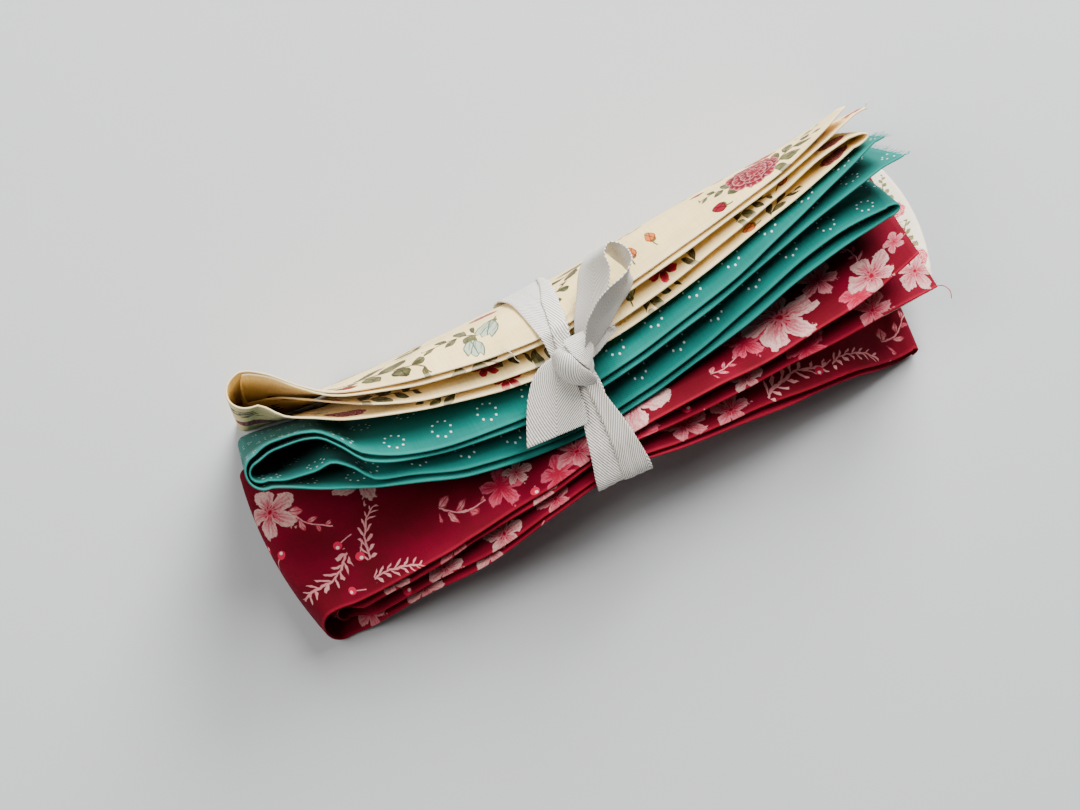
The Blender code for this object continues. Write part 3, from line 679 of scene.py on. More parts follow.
def cotton_sheet(name, node, stations, height, material):
    """One folded cotton: a closed sheet with rounded folds, its strip map and the places of its print."""
    points, u, v = sheet_rings(node, stations, height)
    count, ring = points.shape[:2]
    quads = ring_faces(count, ring)
    ends = raw_end_faces(0, ring, False) + raw_end_faces((count - 1) * ring, ring, True)
    flat = points.reshape(-1, 3)
    a, b, c, d = (flat[quads[:, corner]] for corner in range(4))
    station = np.repeat(np.arange(count - 1), ring)
    k = np.tile(np.arange(ring), count - 1)
    corner_u = np.stack([u[station], u[station + 1], u[station + 1], u[station]], axis=1)
    corner_v = np.stack([v[k], v[k], v[k + 1], v[k + 1]], axis=1)
    if (a * (np.cross(b, c) + np.cross(c, d))).sum() < 0:
        quads, corner_u, corner_v = quads[:, ::-1], corner_u[:, ::-1], corner_v[:, ::-1]
        ends = [face[::-1] for face in ends]
    item = plain_object(name, flat, list(quads) + ends)
    end_strip = [(u[0] if face[0] < ring else u[-1], v[corner % ring]) for face in ends for corner in face]
    strip = np.stack([corner_u.ravel(), corner_v.ravel()], axis=1)
    write_uv(item.data, "strip", np.concatenate([strip, end_strip]) * MM)
    if node in PRINTS:
        placed = print_layout(node, stations, u, height)
        empty = np.tile([-2 * CELL, 0.0], (len(end_strip), 1))
        for uv_name, kinds in (("print_leaves", LEAF_KINDS), ("print_flowers", FLOWER_KINDS)):
            values = motif_uv(corner_u, corner_v, placed, kinds).reshape(-1, 2)
            write_uv(item.data, uv_name, np.concatenate([values, empty]))
    item.data.materials.append(material)
    return item, u[-1]


# Tape

def resampled(points, steps):
    """A smooth line through the points, with steps between each two."""
    points = np.array(points, dtype=float)
    before = np.concatenate(([2 * points[0] - points[1]], points[:-1]))
    after = np.concatenate((points[1:], [2 * points[-1] - points[-2]]))
    tangents = (after - before) / 2
    line = []
    for i in range(len(points) - 1):
        for part in range(steps):
            line.append(hermite(part / steps, points[i], tangents[i], points[i + 1], tangents[i + 1]))
    line.append(points[-1])
    return np.array(line)


def band_object(name, grid, across_places, closed, material):
    """A band of tape lofted through a grid, mapped by its lengths along and across."""
    grid = np.asarray(grid)
    count, wide = grid.shape[:2]
    rows = count if closed else count - 1
    quads = []
    uv = []
    along = lengths_along(grid[:, wide // 2])
    if closed:
        along = np.append(along, along[-1] + np.linalg.norm(grid[0, wide // 2] - grid[-1, wide // 2]))
    for i in range(rows):
        following = (i + 1) % count
        for j in range(wide - 1):
            quads.append([i * wide + j, following * wide + j, following * wide + j + 1, i * wide + j + 1])
            for at, side in ((i, j), (i + 1, j), (i + 1, j + 1), (i, j + 1)):
                place = across_places[at % count] if len(across_places) > 1 else across_places[0]
                uv.append((along[at], place[side]))
    item = plain_object(name, grid.reshape(-1, 3), quads)
    write_uv(item.data, "strip", np.array(uv) * MM)
    item.data.materials.append(material)
    thickness = item.modifiers.new("thickness", "SOLIDIFY")
    thickness.thickness = TWILL * MM
    thickness.offset = 0.0
    edges = item.modifiers.new("rounded edges", "BEVEL")
    edges.width = TAPE_ROUNDING * MM
    edges.segments = 1
    edges.limit_method = "ANGLE"
    return item, along[-1]


def settled(item):
    """The object with its modifiers applied."""
    graph = bpy.context.evaluated_depsgraph_get()
    mesh = bpy.data.meshes.new_from_object(item.evaluated_get(graph), preserve_all_data_layers=True,
                                           depsgraph=graph)
    item.modifiers.clear()
    old = item.data
    item.data = mesh
    bpy.data.meshes.remove(old)
    mesh.name = item.name
    return item


def tie_outline(strips):
    """Outline of the bundle at the tape, a little outside the folds."""
    points = []
    for stations in strips:
        for s in stations:
            if abs(s.rim[0] - TIE_X) <= TIE_HALF:
                points.append((s.base[1], s.base[2]))
                points.append((s.rim[1], s.rim[2]))
    points = np.array(points)
    clear = SHEET / 2 + WRAP_CLEAR + TAPE / 2
    ring = []
    for step in range(SUPPORT_ANGLES):
        angle = 2 * math.pi * step / SUPPORT_ANGLES
        outward = np.array([math.cos(angle), math.sin(angle)])
        ring.append(points[np.argmax(points @ outward)] + outward * clear)
    ring = np.array(ring)
    ring[:, 1] = np.where(ring[:, 1] < TAPE, TAPE / 2, ring[:, 1])
    kept = [ring[0]]
    for point in ring[1:]:
        if np.linalg.norm(point - kept[-1]) > CORNER_STEP:
            kept.append(point)
    return kept


# The tape's closed turn: the step of its line, its columns, and how much closer than the cloth it lies.
WRAP_FINE = 1.6
WRAP_COLUMNS = 25
CLOSER = 0.7
# Its layers lie this far apart, and a fold lifts to that over this much of the surplus.
LAYER_GAP = 0.62
LIFT_OVER = 0.8
# Above the knot, down to here across the bundle, its edge is turned over, by this much at most.
WRAP_TURN = -2.0
TURNED_OVER = 5.6
TURN_ROUND = 0.3
# Below the knot it has a crease, at this share of its width, where it isn't pleated.
CREASE_AT = 0.48
CREASE_TUCK = 0.45
LEAST_TUCK = 0.02
# Towards its run under the cloths the tape widens to its full width, over these heights.
WIDENING = 8.0
OUTER_WIDENING = 6.0
# Underneath, it follows the fuller cloth, and the line of its foot, only from these places outwards.
FOOT_TOP = 4.0
FOOT_FROM = 12.0
FOOT_RUN = 14.0
OUTER_FROM = 22.0
OUTER_RUN = 16.0
# The edge is turned over where the tape is narrower than its full width by this much.
NARROWED = 0.4
RUCK = 0.10
OFF_TABLE = 0.02


def across_tape(knees):
    """Even places across the tape, from its knees: offset, lift and how far over the cloth each lies."""
    cloth = np.array([k[2] for k in knees])
    wanted = np.linspace(0.0, cloth[-1], WRAP_COLUMNS)
    offsets = np.interp(wanted, cloth, [k[0] for k in knees])
    lifts = np.interp(wanted, cloth, [k[1] for k in knees])
    smooth = np.convolve(np.pad(lifts, 1, mode="edge"), [0.25, 0.5, 0.25], mode="valid")
    return offsets, smooth, wanted


def turned_profile(width):
    """Above the knot: the tape's right edge is turned over on to its front."""
    turned = min(TAPE_WIDTH - width, TURNED_OVER)
    lift = LAYER_GAP * ease(turned / LIFT_OVER)
    flap = max(turned, TURN_ROUND + 0.01)
    return across_tape([(0.0, 0.0, 0.0), (width - TURN_ROUND, 0.0, width - TURN_ROUND),
                        (width, lift / 2, width), (width - TURN_ROUND, lift, width + TURN_ROUND),
                        (width - flap, lift, width + flap)])


def pleated_profile(width, blend):
    """Below the knot: what doesn't fit is laid in one pleat, which ends as a crease."""
    surplus = max((TAPE_WIDTH - width) / 2, CREASE_TUCK * (1.0 - blend))
    if surplus < LEAST_TUCK:
        return across_tape([(0.0, 0.0, 0.0), (width, 0.0, TAPE_WIDTH)])
    lift = LAYER_GAP * ease(surplus / CREASE_TUCK)
    first = CREASE_AT * width + surplus
    return across_tape([(0.0, 0.0, 0.0), (first, 0.0, first), (first - surplus, lift, first + surplus),
                        (width, 2 * lift, width + 2 * surplus)])


def wrap_line(strips):
    """The closed line of the tape round the fuller cloths, and its outward directions, in y and z."""
    corners = tie_outline(strips)
    line = []
    for point, following in zip(corners, corners[1:] + corners[:1]):
        parts = max(1, round(np.linalg.norm(following - point) / WRAP_FINE))
        line.extend(point + (following - point) * part / parts for part in range(parts))
    line = np.array(line)
    near = [s.rim for s in strips[0] if s.leaf == 1 and abs(s.x - TIE_X) < TIE_HALF]
    top_y, top_z = max((rim[1], rim[2]) for rim in near)
    most = FULLNESS[CREAM.name][0] * column(FULL_ALONG[CREAM.name], "share", TIE_X)
    for place in line:
        if place[0] > top_y:
            full = column(FULL_UP, "share", min(1.0, place[1] / top_z)) * most
            taken = ease((place[0] - FOOT_FROM) / FOOT_RUN) if place[1] < FOOT_TOP else 1.0
            place[0] += (full - CLOSER) * taken
    for _ in range(2):
        rounded = (np.roll(line, 1, axis=0) + 2 * line + np.roll(line, -1, axis=0)) / 4
        line = np.where(line[:, 1:2] > TAPE, rounded, line)
    tangent = np.roll(line, -1, axis=0) - np.roll(line, 1, axis=0)
    return line, unit(np.stack([tangent[:, 1], -tangent[:, 0]], axis=1))


def wrap_piece(strips, material):
    """The tape's closed turn round the bundle, with its edge turned over above the knot and a pleat below."""
    outer = sorted((s.base[0], s.base[1]) for s in strips[0] if s.leaf == 1)
    furthest = max(place for x, place in outer if abs(x - TIE_X) <= TIE_HALF)
    grid = []
    across = []
    for (y, z), out in zip(*wrap_line(strips)):
        width = column(WRAP_TOP, "width", y)
        middle = column(WRAP_TOP, "middle", y)
        blend = ease((UNDER_TOP - z) / WIDENING) if y < 0.0 else ease((OUTER_UNDER - z) / OUTER_WIDENING)
        width += (TAPE_WIDTH - width) * blend
        middle += (TIE_X - middle) * blend
        turned = y > WRAP_TURN and width < TAPE_WIDTH - NARROWED
        offsets, lifts, places = turned_profile(width) if turned else pleated_profile(width, blend)
        outer_share = ease((y - OUTER_FROM) / OUTER_RUN)
        row = []
        for offset, lift in zip(offsets, lifts):
            push = lift + (RUCK * math.sin(offset * 1.9 + y * 0.21) if z > UNDER_TOP else 0.0)
            x = middle - width / 2 + offset
            back = (furthest - float(np.interp(x, *zip(*outer)))) * outer_share
            row.append([x, y - back + out[0] * push, max(z + out[1] * push, TWILL / 2 + OFF_TABLE)])
        grid.append(row)
        across.append(places)
    return band_object("tie_wrap", grid, across, True, material)


def between_edges(rows, steps, columns):
    """Points across a band, between the two edges that its table gives, and their shares of its width."""
    first, second = (resampled([row[at:at + 3] for row in rows], steps) for at in (0, 3))
    shares = np.linspace(0.0, 1.0, columns)
    return first[:, None] * (1 - shares)[:, None] + second[:, None] * shares[:, None], shares


def hollowed(grid, shares, normal, depths, steps):
    """The band hollowed towards its normals, by a depth for each row of its table."""
    depth = resampled([(value,) for value in depths], steps)[:, 0]
    return grid + normal * (depth[:, None] * (4 * shares * (1 - shares)))[..., None]


def free_band(name, rows, cups, material, steps=6, columns=15):
    """A band through a table of sections; cups gives its hollow at each section."""
    grid, shares = between_edges(rows, steps, columns)
    normal = np.cross(np.gradient(grid, axis=0), np.gradient(grid, axis=1))
    normal /= np.maximum(np.linalg.norm(normal, axis=2), 1e-9)[..., None]
    grid = hollowed(grid, shares, normal, cups, steps)
    return band_object(name, grid, [shares * TAPE_WIDTH], False, material)


def tail_piece(strips, material):
    """The cut end, which lies on the folds."""
    top = sorted(tuple(point) for point in tie_outline(strips) if point[1] > TAIL_TOP)
    rows = []
    for row in TAIL:
        z1, z2 = (float(np.interp(y, *zip(*top))) + row.lift for y in (row.y1, row.y2))
        rows.append(Section(row.x1, row.y1, z1, row.x2, row.y2, z2))
    return free_band("tie_tail", rows, TAIL_PROFILE, material, steps=8)


def wound_band(name, rows, material, steps=8, columns=15):
    """A turn of the tape over the knot, which swells out from the knot's centre."""
    grid, shares = between_edges(rows, steps, columns)
    outward = unit(grid - np.array(KNOT_CENTRE))
    grid = hollowed(grid, shares, outward, [row.swell for row in rows], steps)
    return band_object(name, grid, [shares * TAPE_WIDTH / 2], False, material)


def knot_core(material):
    """The tape inside the knot, which shows only between its turns."""
    bpy.ops.mesh.primitive_uv_sphere_add(segments=40, ring_count=24, radius=1.0)
    core = bpy.context.active_object
    core.name = "tie_knot_core"
    tilt = math.radians(KNOT_TILT)
    for vertex in core.data.vertices:
        x, y, z = (value * radius for value, radius in zip(vertex.co, KNOT_RADII))
        y, z = y * math.cos(tilt) - z * math.sin(tilt), y * math.sin(tilt) + z * math.cos(tilt)
        place = np.array([x, y, z]) + np.array(KNOT_CENTRE) + TO_FRAME
        vertex.co = [value * MM for value in place]
    core.data.polygons.foreach_set("use_smooth", [True] * len(core.data.polygons))
    core.data.uv_layers[0].name = "strip"
    layer = core.data.uv_layers["strip"].uv
    values = np.zeros(len(layer) * 2, dtype=np.float32)
    layer.foreach_get("vector", values)
    values = values.reshape(-1, 2) * np.array([KNOT_LENGTH, TAPE_WIDTH], dtype=np.float32) * MM
    layer.foreach_set("vector", values.reshape(-1))
    core.data.materials.append(material)
    return core


# Drawing with nodes

def ink(red, green, blue):
    """A colour as printed, from its screen values."""
    values = []
    for value in (red, green, blue):
        share = value / 255
        values.append(share / 12.92 if share <= 0.04045 else ((share + 0.055) / 1.055) ** 2.4)
    return (*values, 1.0)


def operation(name, *fixed):
    """A method of Field for one operation of the Math node."""
    return lambda field, *others: field.maths(name, *others, *fixed)


class Field:
    """A value that changes over a surface, worked out step by step with nodes."""

    def __init__(self, tree, socket):
        self.tree = tree
        self.socket = socket

    def maths(self, name, *others):
        return made(self.tree, "ShaderNodeMath", 0, dict(enumerate((self, *others))), operation=name)

    __add__ = operation("ADD")
    __sub__ = operation("SUBTRACT")
    __mul__ = operation("MULTIPLY")
    __truediv__ = operation("DIVIDE")
    __neg__ = operation("MULTIPLY", -1.0)
    sine = operation("SINE")
    cosine = operation("COSINE")
    size = operation("ABSOLUTE")
    floor = operation("FLOOR")
    fraction = operation("FRACT")
    power = operation("POWER")
    least = operation("MINIMUM")
    most = operation("MAXIMUM")
    over = operation("GREATER_THAN")
    equals = operation("COMPARE", 0.3)

    def near(self, inner, outer):
        """1 within inner of zero, falling to 0 at outer."""
        return (-self.size()).rising(-outer, -inner)

    def rising(self, low, high):
        """Smoothly from 0 at low to 1 at high."""
        entries = {"Value": self, "From Min": low, "From Max": high}
        return made(self.tree, "ShaderNodeMapRange", "Result", entries, interpolation_type="SMOOTHSTEP")

    def parts(self):
        """The X and Y of a place."""
        node = add_node(self.tree, "ShaderNodeSeparateXYZ", {0: self})
        return Field(self.tree, node.outputs["X"]), Field(self.tree, node.outputs["Y"])


def feed(socket, value):
    if isinstance(value, Field):
        value.tree.links.new(value.socket, socket)
    else:
        socket.default_value = value


def add_node(tree, kind, entries, **settings):
    """A node with its settings, and its inputs fed by name or number."""
    node = tree.nodes.new(kind)
    for name, value in settings.items():
        setattr(node, name, value)
    for key, value in entries.items():
        feed(node.inputs[key], value)
    return node


def made(tree, kind, output, entries, **settings):
    """One output of a new node."""
    return Field(tree, add_node(tree, kind, entries, **settings).outputs[output])


def vector_of(x, y):
    return made(x.tree, "ShaderNodeCombineXYZ", 0, {"X": x, "Y": y})


def noise(place, scale, detail=2.0):
    return made(place.tree, "ShaderNodeTexNoise", "Fac", {"Vector": place, "Scale": scale, "Detail": detail})


def mixed(share, below, above, **settings):
    return made(share.tree, "ShaderNodeMix", 2, {0: share, 6: below, 7: above}, data_type="RGBA", **settings)


def polar(x, y):
    radius = (x * x + y * y).power(0.5)
    return radius, y.maths("ARCTAN2", x)


VALUE, PLACE = "NodeSocketFloat", "NodeSocketVector"


def shader_group(name, places, outputs, **values):
    """Makes a drawing a shader group: it gets its inputs as fields and returns one for each output."""
    def group(draw):
        tree = bpy.data.node_groups.new(name, "ShaderNodeTree")
        for label in places:
            tree.interface.new_socket(name=label, in_out="INPUT", socket_type=PLACE)
        for label, value in values.items():
            socket = tree.interface.new_socket(name=label, in_out="INPUT", socket_type=VALUE)
            socket.default_value = value
        for label in outputs:
            kind = PLACE if label == "Place" else VALUE
            tree.interface.new_socket(name=label, in_out="OUTPUT", socket_type=kind)
        given = tree.nodes.new("NodeGroupInput")
        result = tree.nodes.new("NodeGroupOutput")
        drawn = draw(*(Field(tree, given.outputs[label]) for label in (*places, *values)))
        for label, value in zip(outputs, drawn):
            feed(result.inputs[label], value)
        return tree
    return group


@shader_group("open flower", ["Place"], ["Cover", "Pale", "Lines", "Heart"], Petals=5.0, Ragged=0.2)
def bloom_group(place, petals, ragged):
    """An open flower of broad ragged petals, streaked along their length, with a ring of stamens."""
    radius, angle = polar(*place.parts())
    open_part = (angle * petals * 0.5).cosine().size()
    from_tip = ((angle * petals / math.tau + 0.5).fraction() - 0.5).size() * 2.0
    broad = noise(place, 1.9, 1.0) - 0.5
    fine = noise(place, 8.0) - 0.5
    reach = (-from_tip.power(2.6) + 1.0) * 0.56 + 0.36 + broad * ragged * 2.2 + fine * ragged
    off = reach - radius
    cover = off.rising(0.0, 0.03)
    streaks = noise(vector_of(angle * 5.0, radius * 1.3), 1.6, 3.0).rising(0.35, 0.7)
    pale = streaks * 0.35 + (radius / reach) * 0.65
    between = (-open_part + 0.20).rising(0.0, 0.12) * radius.rising(0.12, 0.3)
    veins = (angle * petals * 3.0).sine().rising(0.8, 1.0) * radius.rising(0.2, 0.3)
    veins = veins * off.rising(0.12, 0.3) * 0.6
    edge = cover - off.rising(0.045, 0.075)
    stamens = (angle * 11.0).sine().rising(0.3, 0.8) * (radius - 0.2).near(0.03, 0.07)
    heart = (-radius + 0.10).rising(0.0, 0.04).most(stamens)
    return cover, pale, between.most(veins).most(edge * 0.5), heart


@shader_group("full rose", ["Place"], ["Cover", "Light", "Shade"])
def rose_group(place):
    """A full rose: rows of petals one inside another, each with a light edge and fine strokes."""
    x, y = place.parts()
    radius, angle = polar(x, y * 1.1 + 0.05)
    lump = noise(place, 3.2, 1.0) - 0.5
    cover = light = shade = None
    for petals, far, turn in ((3.5, 0.84, 0.0), (2.5, 0.62, 0.9), (2.0, 0.41, 2.0), (1.5, 0.22, 0.4)):
        edge = (angle * petals + turn).cosine().size().power(0.6) * 0.11 + (far - 0.03) + lump * 0.14
        off = edge - radius
        rim = (off - 0.035).near(0.012, 0.03)
        strokes = (angle * (petals * 7.0)).sine().rising(0.2, 0.9) * (off - 0.10).near(0.04, 0.09) * 0.75
        deep = (off + 0.03).near(0.012, 0.05)
        light = light.most(rim).most(strokes) if light else rim.most(strokes)
        shade = shade.most(deep) if shade else deep
        cover = cover or off.rising(0.0, 0.03)
    return cover, light * cover, shade * cover


def cup_shape(x, y, middle, long, wide):
    """The green cup under a flower."""
    along = (x + middle) / long
    return (-(along * along + (y / wide) * (y / wide)) + 1.0).rising(0.0, 0.2)


@shader_group("half-open bell", ["Place"], ["Cover", "Lines", "Green"])
def tulip_group(place):
    """A half-open bell of three pointed petals on a bent stem."""
    x, y = place.parts()
    swell = (x - 0.16) / 0.62
    wide = (-(swell * swell) + 1.0).most(0.0).power(0.5) * 0.46
    top = (y * 7.5).cosine().size() * 0.24 + 0.42
    off = (wide - y.size()).least(top - x)
    cover = off.rising(0.0, 0.03)
    edge = cover - off.rising(0.05, 0.09)
    folds = (y - x * 0.22 - 0.02).near(0.012, 0.035).most((y + x * 0.30 + 0.05).near(0.012, 0.035))
    shading = (y * 26.0 + x * 5.0).sine().rising(0.4, 1.0) * (-x + 0.35).rising(0.0, 0.3) * 0.6
    lines = edge.most(folds * cover).most(shading * cover)
    green = cup_shape(x, y, 0.46, 0.20, 0.22)
    stem = (x * 2.4).sine() * 0.18 + y + 0.18
    stem = stem.near(0.030, 0.055) * x.rising(-0.98, -0.94) * (-x).rising(0.36, 0.42)
    return cover, lines, green.most(stem)


@shader_group("closed bud", ["Place"], ["Cover", "Lines", "Green"])
def bud_group(place):
    """A closed bud on a short bent stem, with its green cup."""
    x, y = place.parts()
    across = (x * -0.30 + 0.50).most(0.06)
    body = (x - 0.26) / 0.60
    off = -(body * body + (y / across) * (y / across)) + 1.0
    cover = off.rising(0.0, 0.12)
    edge = cover - off.rising(0.22, 0.38)
    folds = (y + x * 0.35 - 0.05).near(0.02, 0.05).most((y - x * 0.4 + 0.12).near(0.02, 0.05)) * cover
    green = cup_shape(x, y, 0.22, 0.26, 0.34)
    stem = ((x * 2.6).sine() * 0.14 + y).near(0.045, 0.075) * x.rising(-0.98, -0.94) * (-x).rising(0.2, 0.24)
    return cover, edge.most(folds), green.most(stem)


@shader_group("leaf spray", ["Place"], ["Cover", "Lines", "Stem", "Tone"],
              Spacing=0.3, Length=0.6, Width=0.1, Lean=0.8, Bend=0.25)
def spray_group(place, spacing, length, width, lean, bend):
    """A bent stem with leaves set along both of its sides, shorter towards its tip."""
    x, y = place.parts()
    side = y + x * x * bend
    off_stem = side.size()
    shift = side.over(0.0) * spacing * 0.5
    cell = ((x + shift) / spacing).fraction() * spacing
    taper = x * -0.32 + 0.72
    from_stem = cell - spacing * 0.12
    reach = (from_stem * lean.cosine() + off_stem * lean.sine()) / (length * taper)
    across = off_stem * lean.cosine() - from_stem * lean.sine()
    full = (reach * (-reach + 1.0)).most(0.0) * 4.0 * width * taper
    kept = full.over(0.004) * (-x.size() + 0.9).over(0.0)
    off = full - across.size()
    cover = off.rising(0.0, 0.014) * kept
    edge = cover - off.rising(0.022, 0.040) * kept
    midrib = across.near(0.006, 0.018) * cover
    ribs = (reach * 26.0 - across.size() * 60.0).sine().rising(0.5, 1.0) * cover * 0.45
    stem = side.near(0.022, 0.040) * (-x.size() + 0.92).over(0.0)
    return cover, edge.most(midrib).most(ribs), stem, noise(place, 3.0, 1.0).rising(0.35, 0.65)


@shader_group("berry", ["Place"], ["Cover", "Shine", "Stem"])
def berry_group(place):
    x, y = place.parts()
    radius, _ = polar(x, y)
    spot, _ = polar(x - 0.18, y - 0.2)
    stem = y.near(0.06, 0.10) * (-x).rising(0.6, 0.64)
    return (-radius + 0.66).rising(0.0, 0.08), (-spot + 0.26).rising(0.0, 0.06), stem


@shader_group("plain weave", ["Strip"], ["Height", "Tone"], Thread=0.00045)
def weave_group(strip, thread):
    """Plain weave: threads over and under one another, thicker and thinner in places."""
    along, across = strip.parts()
    warp = (along / thread * math.pi).sine()
    weft = (across / thread * math.pi).sine()
    height = (warp * weft) * 0.5 + 0.5
    slub = noise(vector_of(along * 90.0, across * 2400.0), 1.0)
    slub_across = noise(vector_of(along * 2400.0, across * 90.0), 1.0)
    uneven = slub * 0.5 + slub_across * 0.5
    return height * 0.7 + uneven * 0.3, uneven * 0.5 + noise(strip, 45.0) * 0.5


@shader_group("fold wear", ["Strip"], ["Rubbed"], Fold=0.065, Width=0.0011)
def fold_wear_and_highlight_group(strip, fold, width):
    """1 along the upper fold of a strip: the cloth's wear there, and a painted highlight where the rim
    catches the light.
    """
    along, around = strip.parts()
    off = (around - fold).size() / width
    patchy = noise(vector_of(along * 260.0, around * 900.0), 1.0) * 0.7 + 0.4
    return [(off * -1.0 + 1.6).rising(0.0, 1.0) * patchy]


@shader_group("hand drawn", ["Place", "Strip"], ["Place"], Broad=0.3, Fine=0.12)
def wobble_group(place, strip, broad, fine):
    """Draws a motif as if by hand: its place is pushed about, broadly and finely, differently on each."""
    along, across = strip.parts()
    here = vector_of(along, across)
    there = vector_of(along + 0.31, across + 0.17)
    pushed = [value + ((noise(at, 75.0, 0.0) - 0.5) * broad + (noise(at, 320.0, 1.0) - 0.5) * fine)
              for value, at in zip(place.parts(), (here, there))]
    return [vector_of(*pushed)]


@shader_group("rings of dots", ["Strip"], ["Dots"],
              Along=0.0156, Across=0.0145, Start=0.008, Ring=0.0031, Dot=0.00044)
def ring_group(strip, along_step, across_step, start, ring, dot):
    """Rings of small dots on a half-drop lattice."""
    along, across = strip.parts()
    row = ((across - start) / across_step).floor()
    drop = (row * 0.5).fraction()
    x = (((along / along_step) + drop).fraction() - 0.5) * along_step
    y = ((((across - start) / across_step).fraction()) - 0.5) * across_step
    radius, angle = polar(x, y)
    eighth = (((angle / math.tau * 8.0) + 8.5).fraction() - 0.5) * (math.tau / 8.0)
    off, _ = polar(radius * eighth.cosine() - ring, radius * eighth.sine())
    return [((dot - off) / dot).rising(0.0, 0.35)]


@shader_group("herringbone", ["Strip"], ["Height", "Tone"], Rib=0.00125, Column=0.019)
def herringbone_group(strip, rib, wide):
    """Slanting ribs that turn back at each column of the tape; its tone is darker in the ribs' grooves, which
    is painted shade, mixed with the fibres' random tone.
    """
    along, across = strip.parts()
    zigzag = (((across / wide).fraction() - 0.5).size()) * wide
    slant = (along + zigzag * 1.5) / rib
    ribs = (slant * math.tau).sine() * 0.5 + 0.5
    fibres = noise(vector_of(along * 3000.0, across * 3000.0), 1.0)
    return ribs.power(0.8) * 0.8 + fibres * 0.2, ribs * 0.75 + fibres * 0.25


def use(group, place, **values):
    """One use of a group at a place, with its own values; returns its outputs by name."""
    node = add_node(place.tree, "ShaderNodeGroup", {0: place, **values}, node_tree=group)
    return {socket.name: Field(place.tree, socket) for socket in node.outputs}


def new_material(name, roughness, sheen):
    material = bpy.data.materials.new(name)
    material.use_nodes = True
    shader = material.node_tree.nodes["Principled BSDF"]
    for label, value in (("Roughness", roughness), ("Sheen Weight", sheen), ("Sheen Roughness", 0.5),
                         ("Specular IOR Level", 0.14)):
        feed(shader.inputs[label], value)
    return material, material.node_tree, shader


def raise_surface(shader, height, distance, strength):
    entries = {"Strength": strength, "Distance": distance, "Height": height}
    feed(shader.inputs["Normal"], made(height.tree, "ShaderNodeBump", "Normal", entries))


def uv_place(tree, name):
    return made(tree, "ShaderNodeUVMap", "UV", {}, uv_map=name)


def object_place(tree):
    return made(tree, "ShaderNodeTexCoord", "Object", {})


def motif_place(strip, uv_name, kinds, broad, fine):
    """The place in a motif's cell, pushed about by hand, and a mask for the cells of each kind."""
    raw, y = uv_place(strip.tree, uv_name).parts()
    cell = ((raw + CELL / 2) / CELL).floor()
    place = use(wobble_group, vector_of(raw - cell * CELL, y), Strip=strip, Broad=broad, Fine=fine)["Place"]
    return place, lambda kind: cell.equals(float(kinds[kind]))


def leaf_place(strip, broad=0.34, fine=0.12):
    return motif_place(strip, "print_leaves", LEAF_KINDS, broad, fine)


def flower_place(strip, broad=0.26, fine=0.12):
    return motif_place(strip, "print_flowers", FLOWER_KINDS, broad, fine)


def paint(colour, here, *inks):
    """Inks laid over a colour where a motif is, each by its mask and its strengths."""
    for tint, mask, *strengths in inks:
        share = mask * here
        for strength in strengths:
            share = share * strength
        colour = mixed(share, colour, tint)
    return colour


# A kind of printed leaf: its spacing, length, width, lean and bend on the stem, and its inks.
Leaf = namedtuple("Leaf", "kind shape light dark lines")
LEAF_SHAPE = ("Spacing", "Length", "Width", "Lean", "Bend")


def leafy(colour, place, at, stem, *leaves):
    """The print's leaves and stems over a colour."""
    for leaf in leaves:
        drawn = use(spray_group, place, **dict(zip(LEAF_SHAPE, leaf.shape)))
        tone = mixed(drawn["Tone"], leaf.light, leaf.dark)
        colour = paint(colour, at(leaf.kind), (stem, drawn["Stem"]), (tone, drawn["Cover"]),
                       (leaf.lines, drawn["Lines"], 0.9))
    return colour


def cream_print(strip):
    place, at = leaf_place(strip)
    colour = leafy(
        ink(253, 225, 160), place, at, ink(104, 88, 50),
        Leaf("vine", (0.62, 0.98, 0.26, 0.85, 0.30), ink(118, 114, 70), ink(66, 62, 30), ink(40, 36, 18)),
        Leaf("sprig", (0.72, 0.92, 0.23, 0.75, -0.35), ink(110, 114, 82), ink(66, 66, 36), ink(42, 38, 20)),
        Leaf("blades", (0.90, 1.30, 0.19, 0.42, 0.45), ink(108, 98, 58), ink(60, 52, 26), ink(40, 34, 16)))
    place, at = flower_place(strip)
    rose = use(rose_group, place)
    colour = paint(colour, at("rose"), (ink(126, 2, 30), rose["Cover"]), (ink(74, 2, 16), rose["Shade"], 0.9),
                   (ink(240, 176, 170), rose["Light"], 0.38))
    bloom = use(bloom_group, place, Petals=6.0, Ragged=0.16)
    petal = mixed(bloom["Pale"].rising(0.3, 0.9), ink(130, 8, 30), ink(196, 34, 58))
    colour = paint(colour, at("bloom"), (petal, bloom["Cover"]),
                   (ink(92, 4, 20), bloom["Lines"] * bloom["Cover"], 0.8),
                   (ink(214, 150, 62), bloom["Heart"]))
    tulip = use(tulip_group, place)
    colour = paint(colour, at("tulip"), (ink(96, 88, 46), tulip["Green"]),
                   (ink(178, 190, 164), tulip["Cover"]), (ink(58, 88, 82), tulip["Lines"]))
    bud = use(bud_group, place)
    for kind, petal, line in (("bud", ink(134, 4, 32), ink(66, 2, 14)),
                              ("warm_bud", ink(206, 112, 48), ink(104, 40, 16))):
        colour = paint(colour, at(kind), (ink(100, 92, 48), bud["Green"]), (petal, bud["Cover"]),
                       (line, bud["Lines"]))
    return colour


